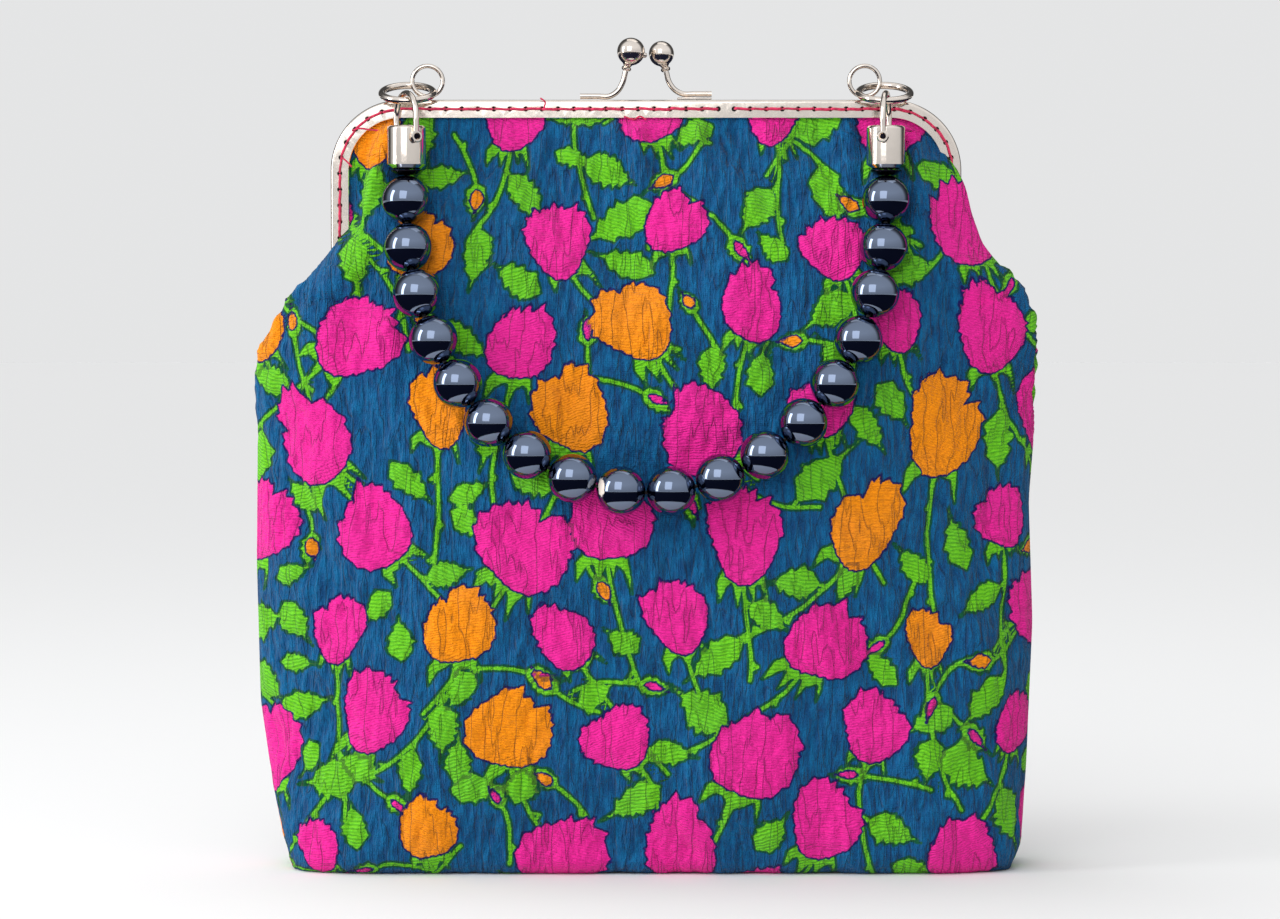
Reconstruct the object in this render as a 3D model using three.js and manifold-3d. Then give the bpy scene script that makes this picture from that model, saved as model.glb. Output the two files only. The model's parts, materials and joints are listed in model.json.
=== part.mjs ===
// A clasp-frame handbag: a fabric bag sewn into a hinged metal frame with a kiss lock, and a handle of strung beads.
// Millimetres. X runs to the right seen from the front, the front faces -Y, Z is up, and the origin is the middle of
// the base. The frame is closed, and the handle hangs down over the front.
import * as THREE from "three";
import { mergeVertices } from "three/addons/utils/BufferGeometryUtils.js";
import Module from "manifold-3d";

const wasm = await Module();
wasm.setup();

// Frame
const FRAME_WIDTH = 205; // outside the legs
const FRAME_TOP = 250; // top of the rail above the base
const HINGE_HEIGHT = 190; // rivet centres above the base
const FRAME_RADIUS = 23; // outer corners of the U
const RAIL_WIDTH = 6; // height of the perforated face
const HALF_DEPTH = 4.2; // one half's channel, front to back
const SHEET = 0.6; // thickness of the metal sheet
const CLEARANCE = 0.3; // running and seating gap between pieces
const HOLE_DIAMETER = 1.5;
const HOLE_PITCH = 5.2;
const RIVET_DIAMETER = 2.8;
const RIVET_HEAD_DIAMETER = 5.2;
const RIVET_HEAD_HEIGHT = 0.8;

// Clasp
const CLASP_WIRE = 1.8; // diameter
const CLASP_FOOT_END = 21.4; // outer end of each foot from the middle
const CLASP_BEND = 10.2; // where each arm leaves the rail
const CLASP_NECK = 6.6; // top of each arm from the middle
const CLASP_ARM_HEIGHT = 9.4; // top of each arm above the rail
const CLASP_LEAN = 0.27; // tangent of the lean of the balls over the middle
const COLLAR_DIAMETER = 3.3;
const COLLAR_HEIGHT = 2.2;
const FRONT_BALL_DIAMETER = 9.2;
const REAR_BALL_DIAMETER = 8.4;
const REAR_SEAT_HEIGHT = 1.0; // strip under the rear arm's foot

// Loops and rings that carry the handle
const LOOP_SPACING = 142; // between the two loops
const LOOP_DIAMETER = 11.5; // outside
const LOOP_WIRE = 1.6;
const LOOP_SETBACK = 1.5; // middle of the loop's wire behind the face of the frame
const RING_DIAMETER = 19; // outside
const RING_WIRE = 2.3;
const RING_TILT = 20; // degrees, front edge down
const RING_CROSSING = 1.2; // the ring passes this far inboard of the loop's middle
const RING_SLANT = 28; // degrees, the ring's turn away from straight outboard

// Bails, pins and end caps
const BAIL_WIRE = 2.1;
const BAIL_DROP = 11.7; // pin below the ring's wire
const LEFT_BAIL_TURN = 28; // degrees about the vertical
const RIGHT_BAIL_TURN = -11;
const PIN_DIAMETER = 1.8;
const CAP_DIAMETER = 12.5;
const CAP_HEIGHT = 14;
const CAP_ABOVE_PIN = 3.7;
const BEAD_CAP_DIAMETER = 10;
const BEAD_CAP_HEIGHT = 1.6;

// Beads
const BEADS_PER_SIDE = 9;
const BEAD_DIAMETER = 15.7;
const BEAD_PITCH = 16.0;
const BEAD_BORE = 3.0;
const CORD_DIAMETER = 1.2;
const STRAND_DROP = 93.0; // from the first bead down to the lowest point of the strand

// Fabric
const CLOTH = 1.8; // padded jacquard with its interlining
const LINING = 0.8;
const LINING_EASE = 1.9; // slack between the lining and the outer cloth
const BAG_WIDTH = 253.4;
const BAG_DEPTH = 58;
const BASE_WIDTH = 234;
const BASE_DEPTH = 50;
const BASE_EASE = 17; // height over which the base corners fill out
const RIM_HEIGHT = 184; // upper edge of the body, under the hinge
const RIM_DEPTH = 44; // of the bag at that edge
const SHOULDER_START = 165; // where the sides start to draw in
const SHOULDER_END = 203;
const SHOULDER_WIDTH = 208;
const LEFT_EAR_TOP = 200; // where the side seams end, beside the legs
const RIGHT_EAR_TOP = 202;
const PUFF_START = 138; // where the sides start to puff out in front of and behind the seams
const PUFF_END = 182;
const FLAP_NEST = 4; // how far the upper panels reach down inside the body
const NEST_GAP = 0.6;
const PANEL_SWELL = 0.88; // under 1, the upper panels swell out below the rail

const nickel = new THREE.MeshStandardMaterial({ color: 0xe6dcd2, roughness: 0.16, metalness: 1 });
const gunmetal = new THREE.MeshStandardMaterial({ color: 0x3b4654, roughness: 0.08, metalness: 1 });
const darkMetal = new THREE.MeshStandardMaterial({ color: 0x16161c, roughness: 0.3, metalness: 0.6 });
const jacquard = new THREE.MeshStandardMaterial({ color: 0x0b5a92, roughness: 0.9, metalness: 0 });
const liningCloth = new THREE.MeshStandardMaterial({ color: 0x101c4a, roughness: 0.85, metalness: 0 });
const stringing = new THREE.MeshStandardMaterial({ color: 0x1b1b20, roughness: 0.8, metalness: 0 });

const X = new THREE.Vector3(1, 0, 0);
const Y = new THREE.Vector3(0, 1, 0);
const Z = new THREE.Vector3(0, 0, 1);
const faceBasis = new THREE.Matrix4().makeBasis(X, Z, Y.clone().negate()); // drawn in XZ, deep along -Y
const sideBasis = new THREE.Matrix4().makeBasis(Y, Z, X); // drawn in YZ, deep along X

const frameHalfWidth = FRAME_WIDTH / 2;
const cornerX = frameHalfWidth - FRAME_RADIUS;
const cornerZ = FRAME_TOP - FRAME_RADIUS;
const legEnd = HINGE_HEIGHT + HALF_DEPTH + CLEARANCE * 2;
const frameFace = CLEARANCE / 2 + HALF_DEPTH; // distance of the outer face from the closing plane

// Joins and cuts
function solid(geometry) {
  const bare = geometry.clone();
  bare.deleteAttribute("normal");
  bare.deleteAttribute("uv");
  const merged = mergeVertices(bare, 1e-4);
  return new wasm.Manifold(
    new wasm.Mesh({
      numProp: 3,
      vertProperties: merged.attributes.position.array,
      triVerts: new Uint32Array(merged.index.array),
    }),
  );
}

function geometryOf(manifold) {
  const mesh = manifold.getMesh();
  const geometry = new THREE.BufferGeometry();
  geometry.setAttribute("position", new THREE.BufferAttribute(mesh.vertProperties, 3));
  geometry.setIndex(new THREE.BufferAttribute(mesh.triVerts, 1));
  geometry.computeVertexNormals();
  return geometry;
}

const joined = (...geometries) => geometryOf(geometries.map(solid).reduce((a, b) => a.add(b)));

// Adds a named mesh to a group
function piece(group, name, geometry, material) {
  const mesh = new THREE.Mesh(geometry, material);
  mesh.name = name;
  group.add(mesh);
  return mesh;
}

// A regular polygon as a path, for wires and small holes
function polygon(Kind, x, y, radius, sides) {
  const path = new Kind();
  for (let i = 0; i < sides; i++) {
    const turn = (2 * Math.PI * i) / sides;
    const point = [x + radius * Math.cos(turn), y + radius * Math.sin(turn)];
    if (i === 0) path.moveTo(...point);
    else path.lineTo(...point);
  }
  path.closePath();
  return path;
}

function extruded(shape, depth, basis, offset, curveSegments = 3) {
  const geometry = new THREE.ExtrudeGeometry(shape, { depth, bevelEnabled: false, curveSegments });
  return geometry.applyMatrix4(basis).translate(...offset);
}

function wire(curve, diameter, steps, sides = 8) {
  return new THREE.ExtrudeGeometry(polygon(THREE.Shape, 0, 0, diameter / 2, sides), {
    steps,
    bevelEnabled: false,
    extrudePath: curve,
  });
}

// A turned piece: the profile holds [radius, height] pairs, and its height runs along the given direction
function turned(profile, segments, direction, place) {
  const geometry = new THREE.LatheGeometry(
    profile.map(([radius, height]) => new THREE.Vector2(radius, height)),
    segments,
  );
  const turn = new THREE.Quaternion().setFromUnitVectors(Y, direction.clone().normalize());
  return geometry.applyQuaternion(turn).translate(place.x, place.y, place.z);
}

// Frame halves: a U of channel section, open towards the fabric, with a row of stitch holes through its face

// The U's face between two lines that run parallel to its outer edge
function bandShape(outerInset, innerInset) {
  const shape = new THREE.Shape();
  const outer = frameHalfWidth - outerInset;
  const inner = frameHalfWidth - innerInset;
  shape.moveTo(-outer, legEnd);
  shape.lineTo(-outer, cornerZ);
  shape.absarc(-cornerX, cornerZ, FRAME_RADIUS - outerInset, Math.PI, Math.PI / 2, true);
  shape.absarc(cornerX, cornerZ, FRAME_RADIUS - outerInset, Math.PI / 2, 0, true);
  shape.lineTo(outer, legEnd);
  shape.lineTo(inner, legEnd);
  shape.absarc(cornerX, cornerZ, FRAME_RADIUS - innerInset, 0, Math.PI / 2, false);
  shape.absarc(-cornerX, cornerZ, FRAME_RADIUS - innerInset, Math.PI / 2, Math.PI, false);
  shape.lineTo(-inner, legEnd);
  shape.closePath();
  return shape;
}

// Places along the middle of the face, counted from the middle of the rail down to the right leg's end
function stitchPlaces() {
  const radius = FRAME_RADIUS - RAIL_WIDTH / 2;
  const arc = (radius * Math.PI) / 2;
  const run = cornerX + arc + cornerZ - legEnd;
  const places = [];
  for (let s = HOLE_PITCH / 2; s < run - HOLE_DIAMETER * 2; s += HOLE_PITCH) {
    if (s < cornerX) {
      places.push([s, FRAME_TOP - RAIL_WIDTH / 2]);
    } else if (s < cornerX + arc) {
      const turn = (s - cornerX) / radius;
      places.push([cornerX + radius * Math.sin(turn), cornerZ + radius * Math.cos(turn)]);
    } else {
      places.push([frameHalfWidth - RAIL_WIDTH / 2, cornerZ - (s - cornerX - arc)]);
    }
  }
  return places;
}

// The leg's lower tab, which turns on the rivet: `outside` is its outer face's distance from the middle of the bag
function hingeTab(side, outside) {
  const shape = new THREE.Shape();
  shape.moveTo(-frameFace, legEnd + RAIL_WIDTH - HINGE_HEIGHT);
  shape.lineTo(-frameFace, 0);
  shape.absarc(0, 0, frameFace, Math.PI, Math.PI * 2.5, false);
  shape.lineTo(-CLEARANCE / 2, frameFace);
  shape.lineTo(-CLEARANCE / 2, legEnd + RAIL_WIDTH - HINGE_HEIGHT);
  shape.closePath();
  shape.holes.push(polygon(THREE.Path, 0, 0, RIVET_DIAMETER / 2 + CLEARANCE, 12));
  const start = side > 0 ? outside - SHEET : -outside;
  return extruded(shape, SHEET, sideBasis, [start, 0, HINGE_HEIGHT], 4);
}

// One half, drawn as the front one; the rear one is turned half round, with its tabs inside the front half's
function frameHalf(tabsOutside) {
  const face = bandShape(0, RAIL_WIDTH);
  for (const [x, z] of stitchPlaces()) {
    for (const side of [-1, 1]) {
      face.holes.push(polygon(THREE.Path, side * x, z, HOLE_DIAMETER / 2, 6));
    }
  }
  const pieces = [
    extruded(face, SHEET, faceBasis, [0, -frameFace + SHEET, 0]),
    extruded(bandShape(0, SHEET), HALF_DEPTH, faceBasis, [0, -CLEARANCE / 2, 0]),
    extruded(bandShape(0, RAIL_WIDTH), SHEET, faceBasis, [0, -CLEARANCE / 2, 0]),
  ];
  for (const side of [-1, 1]) {
    pieces.push(hingeTab(side, tabsOutside));
    if (tabsOutside < frameHalfWidth) pieces.push(joggle(side, tabsOutside));
  }
  return joined(...pieces);
}

// The step that carries an inner tab in from the leg's side wall
function joggle(side, tabsOutside) {
  const width = frameHalfWidth - tabsOutside + SHEET;
  const block = new THREE.BoxGeometry(width, HALF_DEPTH, RAIL_WIDTH / 2);
  const middle = side * (frameHalfWidth - width / 2);
  return block.translate(middle, -CLEARANCE / 2 - HALF_DEPTH / 2, legEnd + RAIL_WIDTH / 4);
}

const frontTabs = frameHalfWidth;
const rearTabs = frameHalfWidth - SHEET - CLEARANCE;

function hingeRivet(side) {
  const shaft = RIVET_DIAMETER / 2;
  const head = RIVET_HEAD_DIAMETER / 2;
  const inner = rearTabs - SHEET - CLEARANCE;
  const outer = frontTabs + CLEARANCE;
  const profile = [
    [0, inner - RIVET_HEAD_HEIGHT],
    [head, inner - RIVET_HEAD_HEIGHT],
    [head, inner],
    [shaft, inner],
    [shaft, outer],
    [head, outer],
    [head * 0.7, outer + RIVET_HEAD_HEIGHT],
    [0, outer + RIVET_HEAD_HEIGHT],
  ];
  const direction = X.clone().multiplyScalar(side);
  return turned(profile, 12, direction, new THREE.Vector3(0, 0, HINGE_HEIGHT));
}

// Clasp: two wire arms that stand on the rails, each with a ball on a collar
const claspY = CLEARANCE / 2 + HALF_DEPTH / 2;

function claspArm(side, y, footHeight) {
  const foot = FRAME_TOP + footHeight + CLEARANCE + CLASP_WIRE / 2;
  const top = FRAME_TOP + CLASP_ARM_HEIGHT;
  const rise = top - foot;
  const curve = new THREE.CatmullRomCurve3(
    [
      new THREE.Vector3(side * CLASP_FOOT_END, y, foot),
      new THREE.Vector3(side * (CLASP_FOOT_END + CLASP_BEND) * 0.5, y, foot),
      new THREE.Vector3(side * (CLASP_BEND + CLASP_WIRE), y, foot),
      new THREE.Vector3(side * (CLASP_BEND - CLASP_WIRE / 2), y, foot + rise * 0.2),
      new THREE.Vector3(side * (CLASP_NECK + CLASP_LEAN * rise * 0.45), y, foot + rise * 0.55),
      new THREE.Vector3(side * CLASP_NECK, y, top),
    ],
    false,
    "centripetal",
  );
  return wire(curve, CLASP_WIRE, 11);
}

function claspBall(side, y, diameter) {
  const lean = new THREE.Vector3(-side * CLASP_LEAN, 0, 1).normalize();
  const radius = diameter / 2;
  const middle = COLLAR_HEIGHT + Math.sqrt(radius ** 2 - (COLLAR_DIAMETER / 2) ** 2);
  const start = Math.asin(COLLAR_DIAMETER / 2 / radius);
  const steps = 7;
  const profile = [
    [0, 0],
    [COLLAR_DIAMETER / 2, 0],
  ];
  for (let i = 0; i <= steps; i++) {
    const turn = Math.PI - start - ((Math.PI - start) * i) / steps;
    profile.push([i < steps ? radius * Math.sin(turn) : 0, middle + radius * Math.cos(turn)]);
  }
  const foot = new THREE.Vector3(side * CLASP_NECK, y, FRAME_TOP + CLASP_ARM_HEIGHT);
  return turned(profile, 14, lean, foot.addScaledVector(lean, CLEARANCE));
}

function claspSeat() {
  const length = CLASP_FOOT_END - CLASP_BEND;
  const strip = new THREE.BoxGeometry(length, CLASP_WIRE * 1.2, REAR_SEAT_HEIGHT - CLEARANCE);
  return strip.translate(
    CLASP_BEND + length / 2,
    claspY,
    FRAME_TOP + CLEARANCE + (REAR_SEAT_HEIGHT - CLEARANCE) / 2,
  );
}

// Loops stand on the front rail, and each ring hangs through its loop, lying forward
const loopY = -frameFace + LOOP_SETBACK;
const loopRadius = (LOOP_DIAMETER - LOOP_WIRE) / 2;
const loopX = LOOP_SPACING / 2;
const loopZ = FRAME_TOP + CLEARANCE + LOOP_DIAMETER / 2;
const ringPivotZ = loopZ - loopRadius; // the ring turns about the loop's lowest wire

const ringRadius = (RING_DIAMETER - RING_WIRE) / 2;
const tilt = THREE.MathUtils.degToRad(RING_TILT);
const slant = THREE.MathUtils.degToRad(RING_SLANT);
const forward = new THREE.Vector3(0, -Math.cos(tilt), -Math.sin(tilt)); // down the slope of the ring
const above = new THREE.Vector3(0, -Math.sin(tilt), Math.cos(tilt)); // square to the ring
const crossingLift =
  (LOOP_WIRE + RING_WIRE) / 2 +
  CLEARANCE +
  (loopRadius - Math.sqrt(loopRadius ** 2 - RING_CROSSING ** 2)) * Math.cos(tilt);

function ringCentre(side) {
  return new THREE.Vector3(side * (loopX - RING_CROSSING), loopY, ringPivotZ)
    .addScaledVector(above, crossingLift)
    .addScaledVector(forward, ringRadius * Math.sin(slant))
    .add(new THREE.Vector3(side * ringRadius * Math.cos(slant), 0, 0));
}

// Where the bail hangs on the ring
const bailPivot = (side) => ringCentre(side).addScaledVector(forward, ringRadius);

function loop(side) {
  const ring = new THREE.TorusGeometry(loopRadius, LOOP_WIRE / 2, 6, 16);
  return ring.rotateX(Math.PI / 2).translate(side * loopX, loopY, loopZ);
}

function ring(side) {
  const centre = ringCentre(side);
  const torus = new THREE.TorusGeometry(ringRadius, RING_WIRE / 2, 6, 20);
  return torus.rotateX(tilt).translate(centre.x, centre.y, centre.z);
}

// Handle ends: a U-shaped bail over each ring, pinned through the end cap
const capRadius = CAP_DIAMETER / 2;
const bailRadius = capRadius + CLEARANCE + BAIL_WIRE / 2;
const bailRise = (RING_WIRE + BAIL_WIRE) / 2 + CLEARANCE; // bail's crown above the ring's wire
const eyeRadius = PIN_DIAMETER / 2 + CLEARANCE + 0.8;
const pinHeadHeight = 0.7;

const bailDirection = (turn) =>
  new THREE.Vector3(Math.sin(THREE.MathUtils.degToRad(turn)), -Math.cos(THREE.MathUtils.degToRad(turn)), 0);

function pinCentre(side) {
  const centre = bailPivot(side);
  centre.z -= BAIL_DROP;
  return centre;
}

function bail(side, turn) {
  const across = bailDirection(turn);
  const pivot = bailPivot(side);
  const pin = pinCentre(side);
  const crownZ = pivot.z + bailRise - bailRadius;
  const point = (reach, z) => new THREE.Vector3(pivot.x, pivot.y, z).addScaledVector(across, reach);
  const points = [point(-bailRadius, pin.z), point(-bailRadius, (pin.z + crownZ) / 2)];
  const arcSteps = 8;
  for (let i = 0; i <= arcSteps; i++) {
    const angle = Math.PI - (Math.PI * i) / arcSteps;
    points.push(point(bailRadius * Math.cos(angle), crownZ + bailRadius * Math.sin(angle)));
  }
  points.push(point(bailRadius, (pin.z + crownZ) / 2), point(bailRadius, pin.z));
  let body = solid(wire(new THREE.CatmullRomCurve3(points, false, "centripetal"), BAIL_WIRE, 14));
  for (const reach of [-1, 1]) {
    const eye = turned(
      [
        [0, -BAIL_WIRE / 2],
        [eyeRadius, -BAIL_WIRE / 2],
        [eyeRadius, BAIL_WIRE / 2],
        [0, BAIL_WIRE / 2],
      ],
      10,
      across,
      pin.clone().addScaledVector(across, reach * bailRadius),
    );
    body = body.add(solid(eye));
  }
  const hole = pinRod(across, pin, PIN_DIAMETER / 2 + CLEARANCE, bailRadius + BAIL_WIRE);
  return geometryOf(body.subtract(solid(hole)));
}

function pinRod(across, place, radius, reach) {
  const profile = [
    [0, -reach],
    [radius, -reach],
    [radius, reach],
    [0, reach],
  ];
  return turned(profile, 10, across, place);
}

function bailPin(side, turn) {
  const radius = PIN_DIAMETER / 2;
  const reach = bailRadius + BAIL_WIRE / 2 + CLEARANCE;
  const head = eyeRadius * 0.8;
  const profile = [
    [0, -reach - pinHeadHeight],
    [head * 0.6, -reach - pinHeadHeight],
    [head, -reach],
    [radius, -reach],
    [radius, reach],
    [head, reach],
    [head * 0.6, reach + pinHeadHeight],
    [0, reach + pinHeadHeight],
  ];
  return turned(profile, 10, bailDirection(turn), pinCentre(side));
}

const capBottomBelowPin = CAP_HEIGHT - CAP_ABOVE_PIN;
const boreRadius = BEAD_BORE / 2;

function endCap(side, turn) {
  const dome = 0.9;
  const chamfer = 0.7;
  const boreDepth = capBottomBelowPin - PIN_DIAMETER - 2 * CLEARANCE;
  const profile = [
    [0, boreDepth],
    [boreRadius, boreDepth],
    [boreRadius, 0],
    [capRadius - chamfer, 0],
    [capRadius, chamfer],
    [capRadius, CAP_HEIGHT - dome],
    [capRadius - dome * 0.4, CAP_HEIGHT - dome * 0.3],
    [capRadius - dome * 1.6, CAP_HEIGHT],
    [0, CAP_HEIGHT],
  ];
  const pin = pinCentre(side);
  const foot = pin.clone();
  foot.z -= capBottomBelowPin;
  const body = solid(turned(profile, 16, Z, foot));
  const hole = pinRod(bailDirection(turn), pin, PIN_DIAMETER / 2 + CLEARANCE, capRadius * 2);
  return geometryOf(body.subtract(solid(hole)));
}

function beadCap(side) {
  const outer = BEAD_CAP_DIAMETER / 2;
  const profile = [
    [boreRadius, 0],
    [outer * 0.62, 0],
    [outer, BEAD_CAP_HEIGHT],
    [boreRadius, BEAD_CAP_HEIGHT],
    [boreRadius, 0],
  ];
  const foot = pinCentre(side);
  foot.z -= capBottomBelowPin + CLEARANCE + BEAD_CAP_HEIGHT;
  return turned(profile, 12, Z, foot);
}

// Fabric body: a lens-shaped section that draws in to the shoulders and squares up at the base
const ease = (height) => Math.exp(-Math.max(height, 0) / BASE_EASE);

function bagHalfWidth(z) {
  const shoulder = Math.max(0, (z - SHOULDER_START) / (SHOULDER_END - SHOULDER_START));
  const lower = BAG_WIDTH - (BAG_WIDTH - BASE_WIDTH) * ease(z);
  return (lower - (BAG_WIDTH - SHOULDER_WIDTH) * shoulder ** 2.3) / 2;
}

function bagHalfDepth(z) {
  const upper = Math.max(0, (z - BAG_DEPTH * 2) / (RIM_HEIGHT - BAG_DEPTH * 2));
  return (BAG_DEPTH - (BAG_DEPTH - BASE_DEPTH) * ease(z) - (BAG_DEPTH - RIM_DEPTH) * upper ** 1.6) / 2;
}

const widthPower = (z) => 3.4 + 6 * ease(z * 0.7);
const depthPower = (z) => 1.35 + 3 * ease(z * 0.7) + 1.15 * THREE.MathUtils.smoothstep(z, PUFF_START, PUFF_END);

// Depth of the outer fabric in front of the middle plane at a place on the bag's front
function bagReach(x, z) {
  const share = Math.min(1, Math.abs(x) / bagHalfWidth(z));
  return bagHalfDepth(z) * (1 - share ** widthPower(z)) ** (1 / depthPower(z));
}

// A point of the bag's section at a height, inset from the outer fabric; turn 0 is the right seam, and it runs
// over the front to the left seam at half a turn
function sectionPoint(turn, z, inset) {
  const across = Math.cos(turn);
  const deep = Math.sin(turn);
  const x = (bagHalfWidth(z) - inset) * Math.sign(across) * Math.abs(across) ** (2 / widthPower(z));
  const y = -(bagHalfDepth(z) - inset) * Math.sign(deep) * Math.abs(deep) ** (2 / depthPower(z));
  return new THREE.Vector3(x, y, z);
}

// Height of the body's upper edge, level under the legs and rising to the end of each side seam
function rimAt(turn) {
  const across = Math.cos(turn);
  const earTop = across > 0 ? RIGHT_EAR_TOP : LEFT_EAR_TOP;
  const rise = THREE.MathUtils.smoothstep(Math.abs(across), 0.84, 1);
  return RIM_HEIGHT + (earTop - RIM_HEIGHT) * rise;
}

// A closed cup of cloth: rings of points for its outside and inside, a flat base, and a rim that joins them.
// Its top follows the body's edge, or lies level where a rim height is given
function clothCup(levels, rim, inset, thickness, baseHeight) {
  const columns = CUP_COLUMNS;
  const positions = [];
  const indices = [];
  const ringOf = (level, wallInset, floor) => {
    const start = positions.length / 3;
    for (let c = 0; c < columns; c++) {
      const turn = (2 * Math.PI * c) / columns;
      const z = level === 1 && rim ? rim : floor + (rimAt(turn) - floor) * level;
      positions.push(...sectionPoint(turn, z, wallInset).toArray());
    }
    return start;
  };
  const bridge = (lower, upper, outwards) => {
    for (let c = 0; c < columns; c++) {
      const d = (c + 1) % columns;
      const quad = [lower + c, lower + d, upper + d, upper + c];
      if (!outwards) quad.reverse();
      indices.push(quad[0], quad[2], quad[1], quad[0], quad[3], quad[2]);
    }
  };
  const cap = (ringStart, z, down) => {
    const centre = positions.length / 3;
    positions.push(0, 0, z);
    for (let c = 0; c < columns; c++) {
      const d = (c + 1) % columns;
      if (down) indices.push(centre, ringStart + c, ringStart + d);
      else indices.push(centre, ringStart + d, ringStart + c);
    }
  };
  const outside = levels.map((level) => ringOf(level, inset, baseHeight));
  const inside = levels.map((level) => ringOf(level, inset + thickness, baseHeight + thickness));
  for (let i = 0; i + 1 < levels.length; i++) {
    bridge(outside[i], outside[i + 1], true);
    bridge(inside[i], inside[i + 1], false);
  }
  // The rim runs from the outside ring over to the inside ring
  bridge(outside.at(-1), inside.at(-1), true);
  cap(outside[0], baseHeight, true);
  cap(inside[0], baseHeight + thickness, false);
  return indexed(positions, indices);
}

function indexed(positions, indices) {
  const geometry = new THREE.BufferGeometry();
  geometry.setAttribute("position", new THREE.Float32BufferAttribute(positions, 3));
  geometry.setIndex(indices);
  geometry.computeVertexNormals();
  return geometry;
}

const BODY_LEVELS = [0, 0.04, 0.12, 0.4, 0.7, 0.85, 0.94, 1];
const LINING_LEVELS = [...BODY_LEVELS.slice(0, -2), 1];
const CUP_COLUMNS = 32;
const liningRim = RIM_HEIGHT - FLAP_NEST * 2 - CLOTH;

const bodyCloth = () => clothCup(BODY_LEVELS, null, 0, CLOTH, 0);
const liningCup = () => clothCup(LINING_LEVELS, liningRim, CLOTH + LINING_EASE, LINING, CLOTH + CLEARANCE);

// Upper panels: cloth whose hem lies in the frame's channel, and which slopes out and down into the body's mouth
const hemReach = CLEARANCE / 2 + HALF_DEPTH / 2 + CLOTH / 2; // outer face of the hem from the closing plane
const hemHalfWidth = frameHalfWidth - SHEET - CLEARANCE;
const hemRadius = FRAME_RADIUS - SHEET - CLEARANCE;
const mouthTop = FRAME_TOP - RAIL_WIDTH;
const freeHalfWidth = frameHalfWidth - RAIL_WIDTH - CLEARANCE;
const hemStart = legEnd + RAIL_WIDTH + CLEARANCE; // where the cloth enters the legs' channels

// Half width of the space inside the frame's face at a height
function insideHalfWidth(z) {
  const radius = FRAME_RADIUS - RAIL_WIDTH;
  const rise = THREE.MathUtils.clamp(z - cornerZ, 0, radius);
  return cornerX + Math.sqrt(radius ** 2 - rise ** 2);
}

function panelReach(x, z) {
  const height = Math.max(z, RIM_HEIGHT);
  const drop = THREE.MathUtils.clamp((mouthTop - height) / (mouthTop - RIM_HEIGHT), 0, 1) ** PANEL_SWELL;
  const nest = (CLOTH + NEST_GAP) * (1 - THREE.MathUtils.smoothstep(height, RIM_HEIGHT, HINGE_HEIGHT));
  const mouth = bagReach(x, RIM_HEIGHT) - nest;
  const softness = 7 + 13 * (1 - drop);
  const spread = 1 - Math.exp(-Math.max(insideHalfWidth(height) - Math.abs(x), 0) / softness);
  const side = THREE.MathUtils.lerp(spread, 1, THREE.MathUtils.smoothstep(drop, 0.8, 1));
  return hemReach + (mouth - hemReach) * side * drop;
}

function hemEdge(z) {
  if (z < hemStart) return freeHalfWidth;
  if (z < cornerZ) return hemHalfWidth;
  return cornerX + Math.sqrt(Math.max(0, hemRadius ** 2 - (z - cornerZ) ** 2));
}

function upperPanel(side) {
  const spans = [0, 0.22, 0.44, 0.64, 0.8, 0.92, 1];
  const columns = [...spans.slice(1).reverse().map((s) => -s), ...spans];
  const rows = [
    RIM_HEIGHT - FLAP_NEST,
    RIM_HEIGHT,
    HINGE_HEIGHT,
    hemStart - CLEARANCE,
    hemStart,
    (2 * hemStart + cornerZ) / 3,
    (hemStart + 2 * cornerZ) / 3,
    cornerZ,
  ];
  for (const turn of [0.35, 0.65, 0.85, 1]) rows.push(cornerZ + hemRadius * Math.sin((turn * Math.PI) / 2));
  const grid = rows.map((z) => {
    const edge = hemEdge(z);
    const free = Math.min(edge, edge - hemHalfWidth + freeHalfWidth);
    const inner = z < hemStart ? edge - CLEARANCE * 2 : free;
    const xs = [-edge, ...columns.map((share) => share * inner), edge];
    return xs.map((x) => ({ x, z }));
  });
  const width = grid[0].length;
  const positions = [];
  for (const back of [0, 1]) {
    for (const row of grid) {
      for (const { x, z } of row) {
        positions.push(x, side * (panelReach(x, z) - back * CLOTH), z);
      }
    }
  }
  const indices = [];
  const layer = grid.length * width;
  const quad = (a, b, c, d) => {
    if (side < 0) indices.push(a, b, c, a, c, d);
    else indices.push(a, c, b, a, d, c);
  };
  for (let r = 0; r + 1 < grid.length; r++) {
    for (let c = 0; c + 1 < width; c++) {
      const a = r * width + c;
      quad(a, a + 1, a + 1 + width, a + width);
      quad(layer + a, layer + a + width, layer + a + 1 + width, layer + a + 1);
    }
    const left = r * width;
    const right = left + width - 1;
    quad(left, left + width, layer + left + width, layer + left);
    quad(right, layer + right, layer + right + width, right + width);
  }
  const topRow = (grid.length - 1) * width;
  for (let c = 0; c + 1 < width; c++) {
    quad(c, layer + c, layer + c + 1, c + 1);
    quad(topRow + c, topRow + c + 1, layer + topRow + c + 1, layer + topRow + c);
  }
  return indexed(positions, indices);
}

// Strand: beads on a cord that hangs from the end caps as half an ellipse and lies on the front of the bag
const beadRadius = BEAD_DIAMETER / 2;
const strandTop = new THREE.Vector3(bailPivot(1).x, bailPivot(1).y, 0);
strandTop.z = pinCentre(1).z - capBottomBelowPin - 2 * CLEARANCE - BEAD_CAP_HEIGHT - beadRadius;

// Depth of the fabric's face in front of the middle plane, the body's below its rim and the panel's above
function frontFabric(x, z) {
  const body = bagReach(x, z);
  if (z < RIM_HEIGHT) return body;
  return Math.max(panelReach(x, z), THREE.MathUtils.lerp(body, 0, Math.min(1, (z - RIM_HEIGHT) / beadRadius)));
}

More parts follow.
